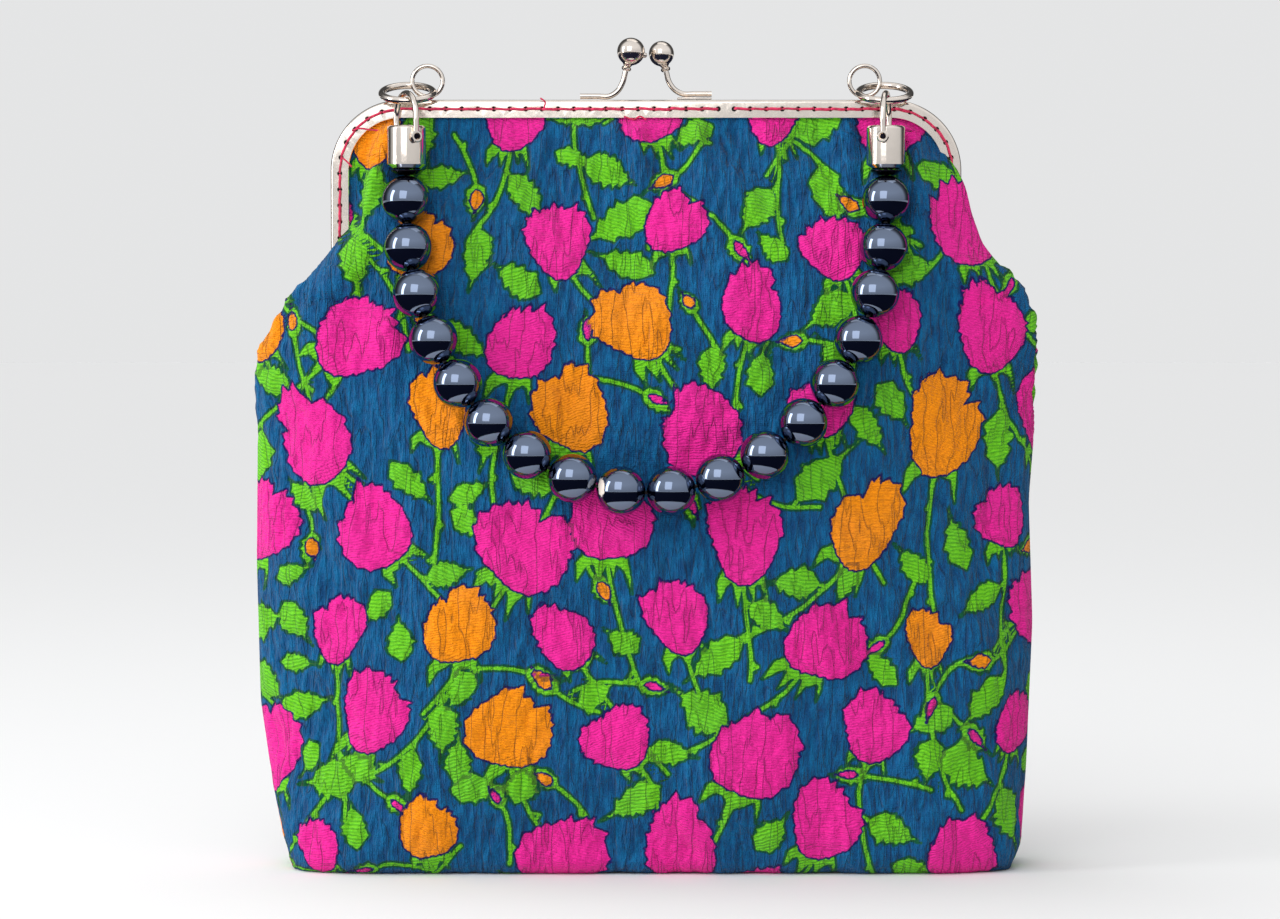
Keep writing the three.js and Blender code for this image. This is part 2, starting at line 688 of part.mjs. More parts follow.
function strandPoint(turn) {
  const x = strandTop.x * Math.sin(turn);
  const z = strandTop.z - STRAND_DROP * Math.cos(turn);
  let rest = -strandTop.y;
  // The bead keeps clear of the fabric all round its back
  for (const [dx, dz] of [[0, 0], [0.5, 0], [-0.5, 0], [0, 0.5], [0, -0.5], [0, -0.8]]) {
    const lean = Math.sqrt(1 - dx ** 2 - dz ** 2) * beadRadius;
    rest = Math.max(rest, frontFabric(x + dx * beadRadius, z + dz * beadRadius) + lean + CLEARANCE * 2);
  }
  return new THREE.Vector3(x, -rest, z);
}

// Bead centres of one side, from the middle up, each a pitch from the one before it
function beadPlaces(side) {
  const places = [];
  const steps = 2000;
  let last = new THREE.Vector3(0, strandPoint(0).y, strandPoint(0).z);
  for (let i = 1; places.length < BEADS_PER_SIDE && i < steps * 1.5; i++) {
    const point = strandPoint((Math.PI / 2) * (i / steps));
    if (point.distanceTo(last) >= (places.length === 0 ? BEAD_PITCH / 2 : BEAD_PITCH)) {
      places.push(point);
      last = point;
    }
  }
  return places.map((place) => new THREE.Vector3(side * place.x, place.y, place.z));
}

const beadCentres = [...beadPlaces(-1).reverse(), ...beadPlaces(1)];

function bead(centre, direction) {
  const start = Math.asin(boreRadius / beadRadius);
  const steps = 6;
  const profile = [];
  for (let i = 0; i <= steps; i++) {
    const turn = Math.PI - start - ((Math.PI - 2 * start) * i) / steps;
    profile.push([beadRadius * Math.sin(turn), beadRadius * Math.cos(turn)]);
  }
  profile.push(profile[0]);
  return turned(profile, 12, direction, centre);
}

// Where the cord passes out of an end cap, or, with a rise, where it ends inside it
function cordMouth(side, rise) {
  const place = pinCentre(side);
  place.z += rise - capBottomBelowPin - CLEARANCE - BEAD_CAP_HEIGHT;
  return place;
}

function cordRoute() {
  const insideCap = BEAD_CAP_HEIGHT + CLEARANCE + CAP_ABOVE_PIN / 2;
  return new THREE.CatmullRomCurve3(
    [
      cordMouth(-1, insideCap),
      cordMouth(-1, 0),
      ...beadCentres,
      cordMouth(1, 0),
      cordMouth(1, insideCap),
    ],
    false,
    "centripetal",
  );
}

// Assembly
const handbag = new THREE.Group();
const body = new THREE.Group();
const frontHalf = new THREE.Group();
const rearHalf = new THREE.Group();
const handle = new THREE.Group();
handbag.add(body, frontHalf, rearHalf, handle);

piece(body, "bag_body", bodyCloth(), jacquard);
piece(body, "bag_lining", liningCup(), liningCloth);
piece(body, "left_hinge_rivet", hingeRivet(-1), nickel);
piece(body, "right_hinge_rivet", hingeRivet(1), nickel);

piece(frontHalf, "front_frame", frameHalf(frontTabs), nickel);
piece(frontHalf, "front_upper_panel", upperPanel(-1), jacquard);
piece(frontHalf, "front_clasp_arm", claspArm(-1, -claspY, 0), nickel);
piece(frontHalf, "front_clasp_ball", claspBall(-1, -claspY, FRONT_BALL_DIAMETER), nickel);
piece(frontHalf, "left_loop", loop(-1), nickel);
piece(frontHalf, "right_loop", loop(1), nickel);

const rearFrame = frameHalf(rearTabs).rotateZ(Math.PI);
piece(rearHalf, "rear_frame", rearFrame, nickel);
piece(rearHalf, "rear_upper_panel", upperPanel(1), jacquard);
piece(rearHalf, "rear_clasp_seat", claspSeat(), nickel);
piece(rearHalf, "rear_clasp_arm", claspArm(1, claspY, REAR_SEAT_HEIGHT), nickel);
piece(rearHalf, "rear_clasp_ball", claspBall(1, claspY, REAR_BALL_DIAMETER), nickel);

for (const [name, side, turn] of [
  ["left", -1, LEFT_BAIL_TURN],
  ["right", 1, RIGHT_BAIL_TURN],
]) {
  piece(handbag, `${name}_ring`, ring(side), nickel);
  piece(handle, `${name}_bail`, bail(side, turn), nickel);
  piece(handle, `${name}_bail_pin`, bailPin(side, turn), nickel);
  piece(handle, `${name}_end_cap`, endCap(side, turn), nickel);
  piece(handle, `${name}_bead_cap`, beadCap(side), darkMetal);
}

const onCord = [cordMouth(-1, 0), ...beadCentres, cordMouth(1, 0)];
beadCentres.forEach((centre, i) => {
  const direction = onCord[i + 2].clone().sub(onCord[i]);
  piece(handle, `bead_${String(i + 1).padStart(2, "0")}`, bead(centre, direction), gunmetal);
});
piece(handle, "handle_cord", wire(cordRoute(), CORD_DIAMETER, 38, 6), stringing);

export default handbag;
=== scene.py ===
"""A clasp-frame handbag of floral jacquard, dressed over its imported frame.

Every piece is in metres, in the frame's own axes: X to the right, the front faces -Y, Z up.
Sizes below are worked out in millimetres and become metres where a mesh is made.
"""

import json
import math
from types import SimpleNamespace

import bmesh
import bpy
import numpy as np
from bpy.props import FloatProperty, FloatVectorProperty, IntProperty, PointerProperty
from mathutils import Matrix, Vector


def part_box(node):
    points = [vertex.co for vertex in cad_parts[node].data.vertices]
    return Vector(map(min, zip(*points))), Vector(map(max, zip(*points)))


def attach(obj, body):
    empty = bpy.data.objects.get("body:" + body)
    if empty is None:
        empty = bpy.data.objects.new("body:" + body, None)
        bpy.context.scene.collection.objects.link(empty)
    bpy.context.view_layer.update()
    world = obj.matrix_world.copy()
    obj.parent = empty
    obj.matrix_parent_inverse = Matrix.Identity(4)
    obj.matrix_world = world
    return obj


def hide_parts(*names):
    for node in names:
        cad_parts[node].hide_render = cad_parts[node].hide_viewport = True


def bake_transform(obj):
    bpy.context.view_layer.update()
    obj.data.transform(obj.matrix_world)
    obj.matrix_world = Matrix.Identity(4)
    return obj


bl_info = {
    "name": "Clasp frame handbag",
    "version": (1, 0, 0),
    "blender": (4, 5, 0),
    "location": "3D View > Sidebar > Handbag",
    "description": "Dresses a clasp frame handbag: cloth, frame, stitching, clasp, rings and beaded handle",
    "category": "Object",
}

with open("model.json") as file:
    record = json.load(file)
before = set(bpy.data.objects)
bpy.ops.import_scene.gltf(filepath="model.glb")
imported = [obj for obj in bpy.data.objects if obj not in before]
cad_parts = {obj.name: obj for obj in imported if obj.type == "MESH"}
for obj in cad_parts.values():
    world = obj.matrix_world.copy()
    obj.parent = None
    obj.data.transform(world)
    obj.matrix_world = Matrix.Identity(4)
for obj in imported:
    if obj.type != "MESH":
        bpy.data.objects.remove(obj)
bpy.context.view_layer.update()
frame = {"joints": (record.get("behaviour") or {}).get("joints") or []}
MM = 0.001


def box(node):
    """Lowest and highest corner of a node, in millimetres."""
    return tuple(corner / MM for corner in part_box(node))


def middle(node):
    low, high = box(node)
    return (low + high) / 2


# The metal frame
FRAME_LOW, FRAME_HIGH = box("front_frame")
HINGE_Z = frame["joints"][0]["pos_m"][2] / MM
FRAME_TOP = FRAME_HIGH.z
FRAME_HALF_WIDTH = FRAME_HIGH.x
FRAME_FACE = -FRAME_LOW.y  # distance of the outer face from the closing plane
RAIL_WIDTH = 6.0
CORNER_RADIUS = 23.0
SHEET = 0.6
CLOSING_GAP = 0.15
CLEARANCE = 0.3
HINGE_ROUND = HINGE_Z - FRAME_LOW.z
LEG_END = HINGE_Z + HINGE_ROUND + 0.45
MOUTH_Z = FRAME_TOP - RAIL_WIDTH
INNER_EDGE = FRAME_HALF_WIDTH - RAIL_WIDTH
CORNER_X = FRAME_HALF_WIDTH - CORNER_RADIUS
CORNER_Z = FRAME_TOP - CORNER_RADIUS
HOLE_RADIUS = 0.85
HOLE_PITCH = 5.2

# The bag
BAG_HALF_DEPTH = box("bag_body")[1].y
BASE_HALF_DEPTH = 25.0
RIM_Z = 184.0
RIM_HALF_DEPTH = 22.0
BASE_EASE = 17.0
BASE_ROUND = 5.0
HEM_REACH = 3.1  # outer face of the hem in the frame's channel, from the closing plane
SEAM_TOP = HINGE_Z - HINGE_ROUND - 0.8
DRAWN_IN_Z = 138.0  # height from which the sides draw in towards the hinges
CLOTH_SPAN = 330.0  # cloth that the whole of its own map stands for

# Outermost cloth on each side, seen from the front: height, distance from the middle
LEFT_EDGE = (
    (0, 115.0), (4, 117.0), (10, 119.0), (35, 123.6), (54, 126.3), (100, 127.4), (165, 126.6),
    (172, 125.0), (180, 120.0), (188, 113.3), (200, 103.2), (206, 98.6), (211, 95.6),
)
RIGHT_EDGE = (
    (0, 118.6), (4, 120.8), (10, 123.2), (35, 124.8), (80, 126.6), (120, 125.2), (143, 127.0),
    (176, 126.4), (182, 125.2), (187, 122.6), (192, 118.4), (201, 110.2), (206, 107.6), (216, 104.4),
    (224, 102.6), (231, 98.6), (238, 92.4),
)
LEFT_FOLD_TOP, RIGHT_FOLD_TOP = 211.0, 238.0  # where the cloth that bulges over each leg ends

BEADS = [f"bead_{number:02d}" for number in range(1, 19)]
BEAD_RADIUS = 7.85


# Numbers and meshes


def smoothstep(low, high, value):
    share = np.clip((np.asarray(value, float) - low) / (high - low), 0, 1)
    return share * share * (3 - 2 * share)


def along(table, value):
    """A smooth value from a table of pairs."""
    places, sizes = zip(*table)
    spread = np.linspace(-2.5, 2.5, 5)
    return np.mean([np.interp(np.asarray(value) + s, places, sizes) for s in spread], axis=0)


def wobble(u, v, wavelength, seed, waves=6):
    """Smooth unevenness between about -1 and 1, made of plane waves in different directions."""
    rng = np.random.default_rng(seed)
    total = np.zeros(np.broadcast(u, v).shape)
    for _ in range(waves):
        angle, phase = rng.uniform(0, math.tau, 2)
        number = math.tau / (wavelength * rng.uniform(0.7, 1.4))
        total += np.sin(number * (u * math.cos(angle) + v * math.sin(angle)) + phase)
    return total / math.sqrt(waves * 0.8)


def settings(name):
    """A group's values as the user has set them, with its lengths in millimetres."""
    group = getattr(bpy.context.scene, name)
    chosen = SimpleNamespace()
    for key in group.__annotations__:
        value = getattr(group, key)
        is_length = group.bl_rna.properties[key].unit == "LENGTH"
        setattr(chosen, key, value / MM if is_length else value)
    return chosen


def mesh_piece(name, vertices, faces, material=None):
    """An object in the scene, from vertices in millimetres."""
    mesh = bpy.data.meshes.new(name)
    places = (np.asarray(vertices, float) * MM).tolist()
    mesh.from_pydata(places, [], [list(map(int, face)) for face in faces])
    mesh.validate()
    mesh.shade_smooth()
    if material:
        mesh.materials.append(material)
    piece = bpy.data.objects.new(name, mesh)
    bpy.context.scene.collection.objects.link(piece)
    return piece


def grid_faces(rows, columns, flip=False):
    """Quads of a grid of vertices, row by row."""
    corner = (np.arange(rows - 1)[:, None] * columns + np.arange(columns - 1)[None, :]).ravel()
    quads = np.stack([corner, corner + 1, corner + 1 + columns, corner + columns], axis=1)
    return quads[:, ::-1] if flip else quads


def add_attribute(mesh, name, values):
    """A value for each vertex: a number, or three for a vector."""
    values = np.asarray(values, np.float32)
    kind, field = ("FLOAT_VECTOR", "vector") if values.ndim == 2 else ("FLOAT", "value")
    mesh.attributes.new(name, kind, "POINT").data.foreach_set(field, values.ravel())


def rounded(points, steps):
    """Points along a smooth curve through the given ones."""
    points = np.asarray(points, float)
    chain = np.vstack([2 * points[0] - points[1], points, 2 * points[-1] - points[-2]])
    knots = np.concatenate([[0], np.cumsum(np.sqrt(np.linalg.norm(np.diff(chain, axis=0), axis=1)))])

    def blend(t, start, end, i, j):
        """The place at t on the way from one knot to another."""
        return ((knots[j] - t) * start + (t - knots[i]) * end) / (knots[j] - knots[i])

    curve = []
    for t in np.linspace(knots[1], knots[-2], steps):
        i = min(max(int(np.searchsorted(knots, t, "right")) - 1, 1), len(points) - 1)
        first, second, third = (blend(t, chain[j], chain[j + 1], j, j + 1) for j in (i - 1, i, i + 1))
        before, after = blend(t, first, second, i - 1, i + 1), blend(t, second, third, i, i + 2)
        curve.append(blend(t, before, after, i, i + 1))
    return np.array(curve)


def tube(line, radius, sides=16):
    """A wire along a line of points, with eased ends."""
    line = np.asarray(line, float)
    ends = [line[0] + (line[0] - line[1]) * 0.001, line[-1] + (line[-1] - line[-2]) * 0.001]
    centres = np.vstack([ends[0], line, ends[1]])
    sizes = np.array([0.72, *np.ones(len(line)), 0.72]) * radius
    tangents = np.gradient(line, axis=0)
    tangents = np.vstack([tangents[0], tangents, tangents[-1]])
    tangents /= np.linalg.norm(tangents, axis=1, keepdims=True)
    across = np.cross(tangents[0], (0.31, 0.52, 0.79))
    turn = np.linspace(0, math.tau, sides, endpoint=False)
    rings = []
    for centre, tangent, size in zip(centres, tangents, sizes):
        across = across - tangent * np.dot(across, tangent)
        across /= np.linalg.norm(across)
        other = np.cross(tangent, across)
        rings.append(centre + size * (np.cos(turn)[:, None] * across + np.sin(turn)[:, None] * other))
    return skin(rings)


def skin(rings, closed=False):
    """Faces between rings of points, with a face over each end unless the rings close on themselves."""
    sides = len(rings[0])
    faces = []
    count = len(rings) if closed else len(rings) - 1
    for r in range(count):
        low, high = r * sides, (r + 1) % len(rings) * sides
        faces += [(low + s, low + (s + 1) % sides, high + (s + 1) % sides, high + s) for s in range(sides)]
    if not closed:
        faces += [tuple(range(sides))[::-1], tuple(range((len(rings) - 1) * sides, len(rings) * sides))]
    return np.concatenate(rings), faces


def turned(profile, sides=32, closed=False):
    """A turned piece about Z, from a profile of radius and height."""
    turn = np.linspace(0, math.tau, sides, endpoint=False)
    rings = [
        np.stack([radius * np.cos(turn), radius * np.sin(turn), np.full(sides, float(height))], axis=1)
        for radius, height in profile
    ]
    return skin(rings, closed)


def torus(radius, wire, sides=64):
    turn = np.linspace(0, math.tau, 20, endpoint=False)
    return turned([(radius + wire * math.cos(a), wire * math.sin(a)) for a in turn], sides, closed=True)


def block(size, bevel=0.25):
    """A small block with eased edges, centred on the origin."""
    x, y, z = (side / 2 for side in size)
    outline = [(x, y - bevel), (x - bevel, y), (bevel - x, y), (-x, y - bevel)]
    outline += [(-a, -b) for a, b in outline]
    inner = [(a * (1 - bevel / x), b * (1 - bevel / y)) for a, b in outline]
    heights = ((inner, -z), (outline, bevel - z), (outline, z - bevel), (inner, z))
    return skin([np.array([(a, b, height) for a, b in ring]) for ring, height in heights])


def placed(part, place, direction=(0, 0, 1)):
    """A part with its Z axis turned to a direction, and then moved."""
    points, faces = part
    turn = Vector((0, 0, 1)).rotation_difference(Vector(direction)).to_matrix()
    return np.asarray(points) @ np.array(turn).T + np.asarray(tuple(place)), faces


def joined(*parts):
    points, faces, start = [], [], 0
    for vertices, polygons in parts:
        points.append(np.asarray(vertices))
        faces += [tuple(index + start for index in face) for face in polygons]
        start += len(vertices)
    return np.concatenate(points), faces


def finished(piece, crease=35):
    """Merges doubles, turns faces outwards and keeps real edges sharp."""
    mesh = piece.data
    work = bmesh.new()
    work.from_mesh(mesh)
    bmesh.ops.remove_doubles(work, verts=work.verts, dist=1e-6)
    bmesh.ops.dissolve_degenerate(work, edges=work.edges, dist=1e-7)
    bmesh.ops.recalc_face_normals(work, faces=work.faces)
    work.to_mesh(mesh)
    work.free()
    mesh.shade_smooth()
    mesh.set_sharp_from_angle(angle=math.radians(crease))
    return piece


def rigid_piece(name, body, material, *parts, slot="nickel", node=None):
    """A piece that rides on one body, and stands for a node if one is named."""
    piece = finished(mesh_piece(name, *joined(*parts), material))
    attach(piece, body)
    if node:
        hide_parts(node)
    return piece


# Materials


def colour(red, green, blue):
    """A linear colour from 0 to 255 screen values."""
    values = [value / 255 for value in (red, green, blue)]
    return [v / 12.92 if v <= 0.04045 else ((v + 0.055) / 1.055) ** 2.4 for v in values]


class Nodes:
    """The nodes of one tree, as they are put together."""

    def __init__(self, tree):
        self.tree = tree

    def join(self, socket, value):
        if isinstance(value, bpy.types.NodeSocket):
            self.tree.links.new(value, socket)
        elif socket.type == "RGBA":
            socket.default_value = (*value, 1)[:4]
        else:
            socket.default_value = value

    def add(self, kind, inputs=(), **options):
        node = self.tree.nodes.new(f"ShaderNode{kind}")
        for key, value in options.items():
            setattr(node, key, value)
        for key, value in dict(inputs).items():
            self.join(node.inputs[key], value)
        return node

    def spread(self, value, low, high, start=0.0, end=1.0, **options):
        """A change from start to end as the value goes from low to high."""
        inputs = {"Value": value, "From Min": low, "From Max": high, "To Min": start, "To Max": end}
        return self.add("MapRange", inputs, **options).outputs["Result"]


class Paint(Nodes):
    """A material's nodes."""

    def __init__(self, name, **surface):
        self.material = bpy.data.materials.new(name)
        self.material.use_nodes = True
        super().__init__(self.material.node_tree)
        self.shader = self.tree.nodes["Principled BSDF"]
        for key, value in surface.items():
            self.set(key.replace("_", " ").title().replace("Ior", "IOR"), value)

    def set(self, name, value):
        self.join(self.shader.inputs[name], value)

    def sum(self, operation, *values):
        return self.add("Math", enumerate(values), operation=operation).outputs[0]

    def step(self, value, low, high, start=0.0, end=1.0):
        """The same as spread, eased at both ends."""
        return self.spread(value, low, high, start, end, interpolation_type="SMOOTHSTEP")

    def mix(self, share, first, second):
        node = self.add("Mix", data_type="RGBA")
        self.join(node.inputs["Factor"], share)
        self.join(node.inputs[6], first)
        self.join(node.inputs[7], second)
        return node.outputs[2]

    def noise(self, place, scale, detail=2.0):
        return self.add("TexNoise", {"Vector": place, "Scale": scale, "Detail": detail}).outputs["Fac"]

    def stretched(self, place, scale, rotation=(0, 0, 0)):
        """The place with each axis scaled."""
        return self.add("Mapping", {"Vector": place, "Scale": scale, "Rotation": rotation}).outputs[0]

    def attribute(self, name, output="Fac"):
        return self.add("Attribute", attribute_name=name).outputs[output]

    def bump(self, height, distance):
        return self.add("Bump", {"Height": height, "Distance": distance, "Strength": 1.0}).outputs[0]

    @property
    def place(self):
        return self.add("TexCoord").outputs["Object"]


def polished(name, tint, roughness):
    """Plated metal with a few fine scratches and finger marks."""
    paint = Paint(name, base_color=tint, metallic=1.0)
    place = paint.place
    smears = paint.step(paint.noise(place, 140.0, 4.0), 0.42, 0.72)
    streaks = paint.step(paint.noise(paint.stretched(place, (900.0, 260.0, 1500.0)), 1.0, 3.0), 0.6, 0.68)
    rough = paint.sum("MULTIPLY_ADD", smears, roughness * 0.9, roughness)
    paint.set("Roughness", paint.sum("MULTIPLY_ADD", streaks, roughness * 0.35, rough))
    worn = paint.mix(paint.sum("MULTIPLY", smears, 0.35), tint, [value * 0.82 for value in tint])
    paint.set("Base Color", worn)
    paint.set("Normal", paint.bump(paint.noise(place, 260.0, 2.0), 0.00004))
    return paint.material


def spun(name, tint, shade):
    """Twisted thread or cord, with painted shade in the grooves of its twist."""
    paint = Paint(name, roughness=0.72, sheen_weight=0.25)
    place = paint.place
    strands = paint.noise(paint.stretched(place, (900.0, 1980.0, 900.0)), 1.0, 3.0)
    # Painted shade: the shade colour lies where the strands' bump is low.
    paint.set("Base Color", paint.mix(paint.step(strands, 0.35, 0.65), shade, tint))
    paint.set("Normal", paint.bump(strands, 0.00012))
    return paint.material


def jacquard(look):
    """Printed jacquard: motifs from distances on the cloth, weave ribs and a crinkled ground, with painted
    shade in its crinkles and creases.
    """
    paint = Paint(
        "jacquard", roughness=0.86, specular_ior_level=0.22, sheen_weight=0.08, sheen_roughness=0.5
    )
    flat = paint.add("UVMap", uv_map="cloth").outputs[0]
    flat = paint.stretched(flat, (CLOTH_SPAN, CLOTH_SPAN, 1.0))
    ragged = paint.sum("SUBTRACT", paint.noise(flat, 0.9, 3.0), 0.5)

    def inside(distance, ease=0.16):
        return paint.step(distance, -ease, ease, 1.0, 0.0)

    def rough_edge(distance, amount):
        return paint.sum("MULTIPLY_ADD", ragged, amount, distance)

    rose = rough_edge(paint.attribute("rose"), 0.9)
    leaf = rough_edge(paint.attribute("leaf"), 0.8)
    stem_offset = paint.attribute("stem", "Vector")
    stem_far = paint.add("VectorMath", {0: stem_offset}, operation="LENGTH").outputs["Value"]
    stem = paint.sum("SUBTRACT", rough_edge(stem_far, 0.7), look.stem_width / 2)
    in_rose, in_leaf, in_stem = inside(rose), inside(leaf), inside(stem)
    green = paint.sum("MAXIMUM", in_leaf, in_stem)
    round_rose = paint.step(rose, look.outline * 0.6, look.outline * 1.3, 1.0, 0.0)
    nearest_green = paint.sum("MINIMUM", leaf, stem)
    round_green = paint.step(nearest_green, look.outline * 0.8, look.outline * 1.6, 1.0, 0.0)

    # Weave: upright ribs on the ground, and ribs on the motifs that lie another way on each
    crinkle = paint.noise(paint.stretched(flat, (0.62, 0.13, 1.0)), 1.0, 4.0)
    fine = paint.noise(paint.stretched(flat, (2.6, 0.5, 1.0)), 1.0, 2.0)
    parts = paint.add("SeparateXYZ", {0: flat}).outputs
    bend = paint.sum("MULTIPLY", paint.noise(flat, 0.22, 2.0), 2.2)

    def ribs_along(tone, pitch):
        lean = paint.sum("MULTIPLY", paint.sum("SUBTRACT", paint.attribute(tone), 0.45), 0.9)
        course = paint.sum("ADD", paint.sum("MULTIPLY_ADD", parts[0], lean, parts[1]), bend)
        return paint.sum("SINE", paint.sum("MULTIPLY", course, math.tau / pitch))

    leaf_ribs = ribs_along("leaf_tone", look.rib_pitch)
    rose_ribs = ribs_along("rose_tone", look.rib_pitch * 0.75)
    picks = paint.sum("SINE", paint.sum("MULTIPLY", paint.sum("ADD", parts[0], bend), math.tau / 0.8))
    specks = paint.step(paint.noise(flat, 1.9, 2.0), 0.62, 0.7)
    drawn = paint.noise(paint.stretched(flat, (0.2, 0.035, 1.0)), 1.0, 2.0)
    creases = paint.step(paint.sum("ABSOLUTE", paint.sum("SUBTRACT", drawn, 0.5)), 0.0, 0.022, 1.0, 0.0)
    weft = paint.sum("SINE", paint.sum("MULTIPLY", parts[1], math.tau / 0.62))
    patches = paint.noise(flat, 0.045, 2.0)

    # Painted shade: the ground turns to its shade colour where the crinkle bump sinks, in its hollows.
    ground = paint.mix(paint.step(crinkle, 0.3, 0.72), look.ground_shade, look.ground)
    ground = paint.mix(paint.step(fine, 0.55, 0.75, 0.0, 0.3), ground, look.ground_thread)
    ground = paint.mix(paint.step(picks, 0.3, 1.0, 0.0, 0.16), ground, look.ground_shade)
    leaves = paint.mix(paint.step(leaf_ribs, 0.35, 1.0, 0.0, 0.6), look.leaf, look.leaf_shade)
    petals = paint.mix(paint.step(rose_ribs, 0.3, 1.0, 0.0, 0.22), look.petal, look.petal_shade)
    petals = paint.mix(paint.sum("MULTIPLY", specks, 0.4), petals, look.petal_shade)
    amber = paint.mix(paint.step(rose_ribs, 0.3, 1.0, 0.0, 0.25), look.amber, look.amber_shade)
    amber = paint.mix(paint.sum("MULTIPLY", specks, 0.35), amber, look.amber_shade)
    petals = paint.mix(paint.step(paint.attribute("amber"), 0.4, 0.6), petals, amber)

    cloth = paint.mix(round_green, ground, look.leaf_outline)
    cloth = paint.mix(green, cloth, leaves)
    cloth = paint.mix(round_rose, cloth, look.petal_outline)
    cloth = paint.mix(in_rose, cloth, petals)
    cloth = paint.mix(paint.step(patches, 0.35, 0.7, 0.0, 0.05), cloth, look.ground_shade)
    # Painted shade: the colour is multiplied by the crease tint along the sunk crease lines.
    deep = paint.add("Mix", data_type="RGBA", blend_type="MULTIPLY")
    paint.join(deep.inputs["Factor"], paint.sum("MULTIPLY", creases, 0.35))
    paint.join(deep.inputs[6], cloth)
    paint.join(deep.inputs[7], look.crease)
    paint.set("Base Color", deep.outputs[2])

    motif = paint.sum("MAXIMUM", in_rose, in_leaf)
    bare = paint.sum("SUBTRACT", 1.0, motif)
    pucker = paint.sum("MULTIPLY", crinkle, paint.sum("MULTIPLY_ADD", bare, 1.9, 0.7))
    rib_height = paint.sum("MULTIPLY", leaf_ribs, paint.sum("MULTIPLY", in_leaf, 0.15))
    rib_height = paint.sum("MULTIPLY_ADD", rose_ribs, paint.sum("MULTIPLY", in_rose, 0.1), rib_height)
    pick_height = paint.sum("MULTIPLY", picks, paint.sum("MULTIPLY", bare, 0.07))
    sunk = paint.sum("MULTIPLY", paint.sum("MAXIMUM", round_rose, round_green), bare)
    soft = paint.noise(flat, 0.42, 3.0)
    height = paint.sum("ADD", paint.sum("ADD", rib_height, pick_height), pucker)
    for part, share in ((weft, 0.035), (creases, -0.45), (sunk, -0.3), (soft, 1.5), (motif, 0.22)):
        height = paint.sum("MULTIPLY_ADD", part, share, height)
    paint.set("Normal", paint.bump(height, 0.001))
    return paint.material


def lining_cloth():
    """Plain dark twill."""
    paint = Paint("lining", roughness=0.78, sheen_weight=0.15)
    flat = paint.stretched(paint.add("UVMap", uv_map="cloth").outputs[0], (CLOTH_SPAN, CLOTH_SPAN, 1.0))
    parts = paint.add("SeparateXYZ", {0: flat}).outputs
    twill = paint.sum("SINE", paint.sum("MULTIPLY", paint.sum("ADD", parts[0], parts[1]), math.tau / 0.9))
    patches = paint.noise(flat, 0.05, 3.0)
    shade = paint.mix(paint.step(patches, 0.3, 0.7), colour(11, 16, 46), colour(20, 28, 74))
    paint.set("Base Color", paint.mix(paint.step(twill, 0.0, 1.0, 0.0, 0.3), shade, colour(34, 44, 98)))
    paint.set("Normal", paint.bump(paint.sum("MULTIPLY_ADD", twill, 0.06, patches), 0.001))
    return paint.material


# Cloth


def inner_edge_at(z):
    """Distance from the middle to the inner edge of the frame's face."""
    radius = CORNER_RADIUS - RAIL_WIDTH
    rise = np.clip(z - CORNER_Z, 0, radius)
    return CORNER_X + math.sqrt(max(radius**2 - rise**2, 0.0))


def base_ease(z):
    return math.exp(-max(z, 0) / BASE_EASE)


def half_depth(z):
    """Depth of the bag in front of its middle plane."""
    start = BAG_HALF_DEPTH * 4
    upper = max(0.0, (z - start) / (RIM_Z - start))
    lower = BAG_HALF_DEPTH - (BAG_HALF_DEPTH - BASE_HALF_DEPTH) * base_ease(z)
    return lower - (BAG_HALF_DEPTH - RIM_HALF_DEPTH) * upper**1.6


def seam_x(z, edge):
    """Where the side seam runs: at the edge low down, drawn in to the hinge at its top."""
    top = INNER_EDGE + 2.4
    return edge - (edge - top) * float(smoothstep(DRAWN_IN_Z, SEAM_TOP, z))


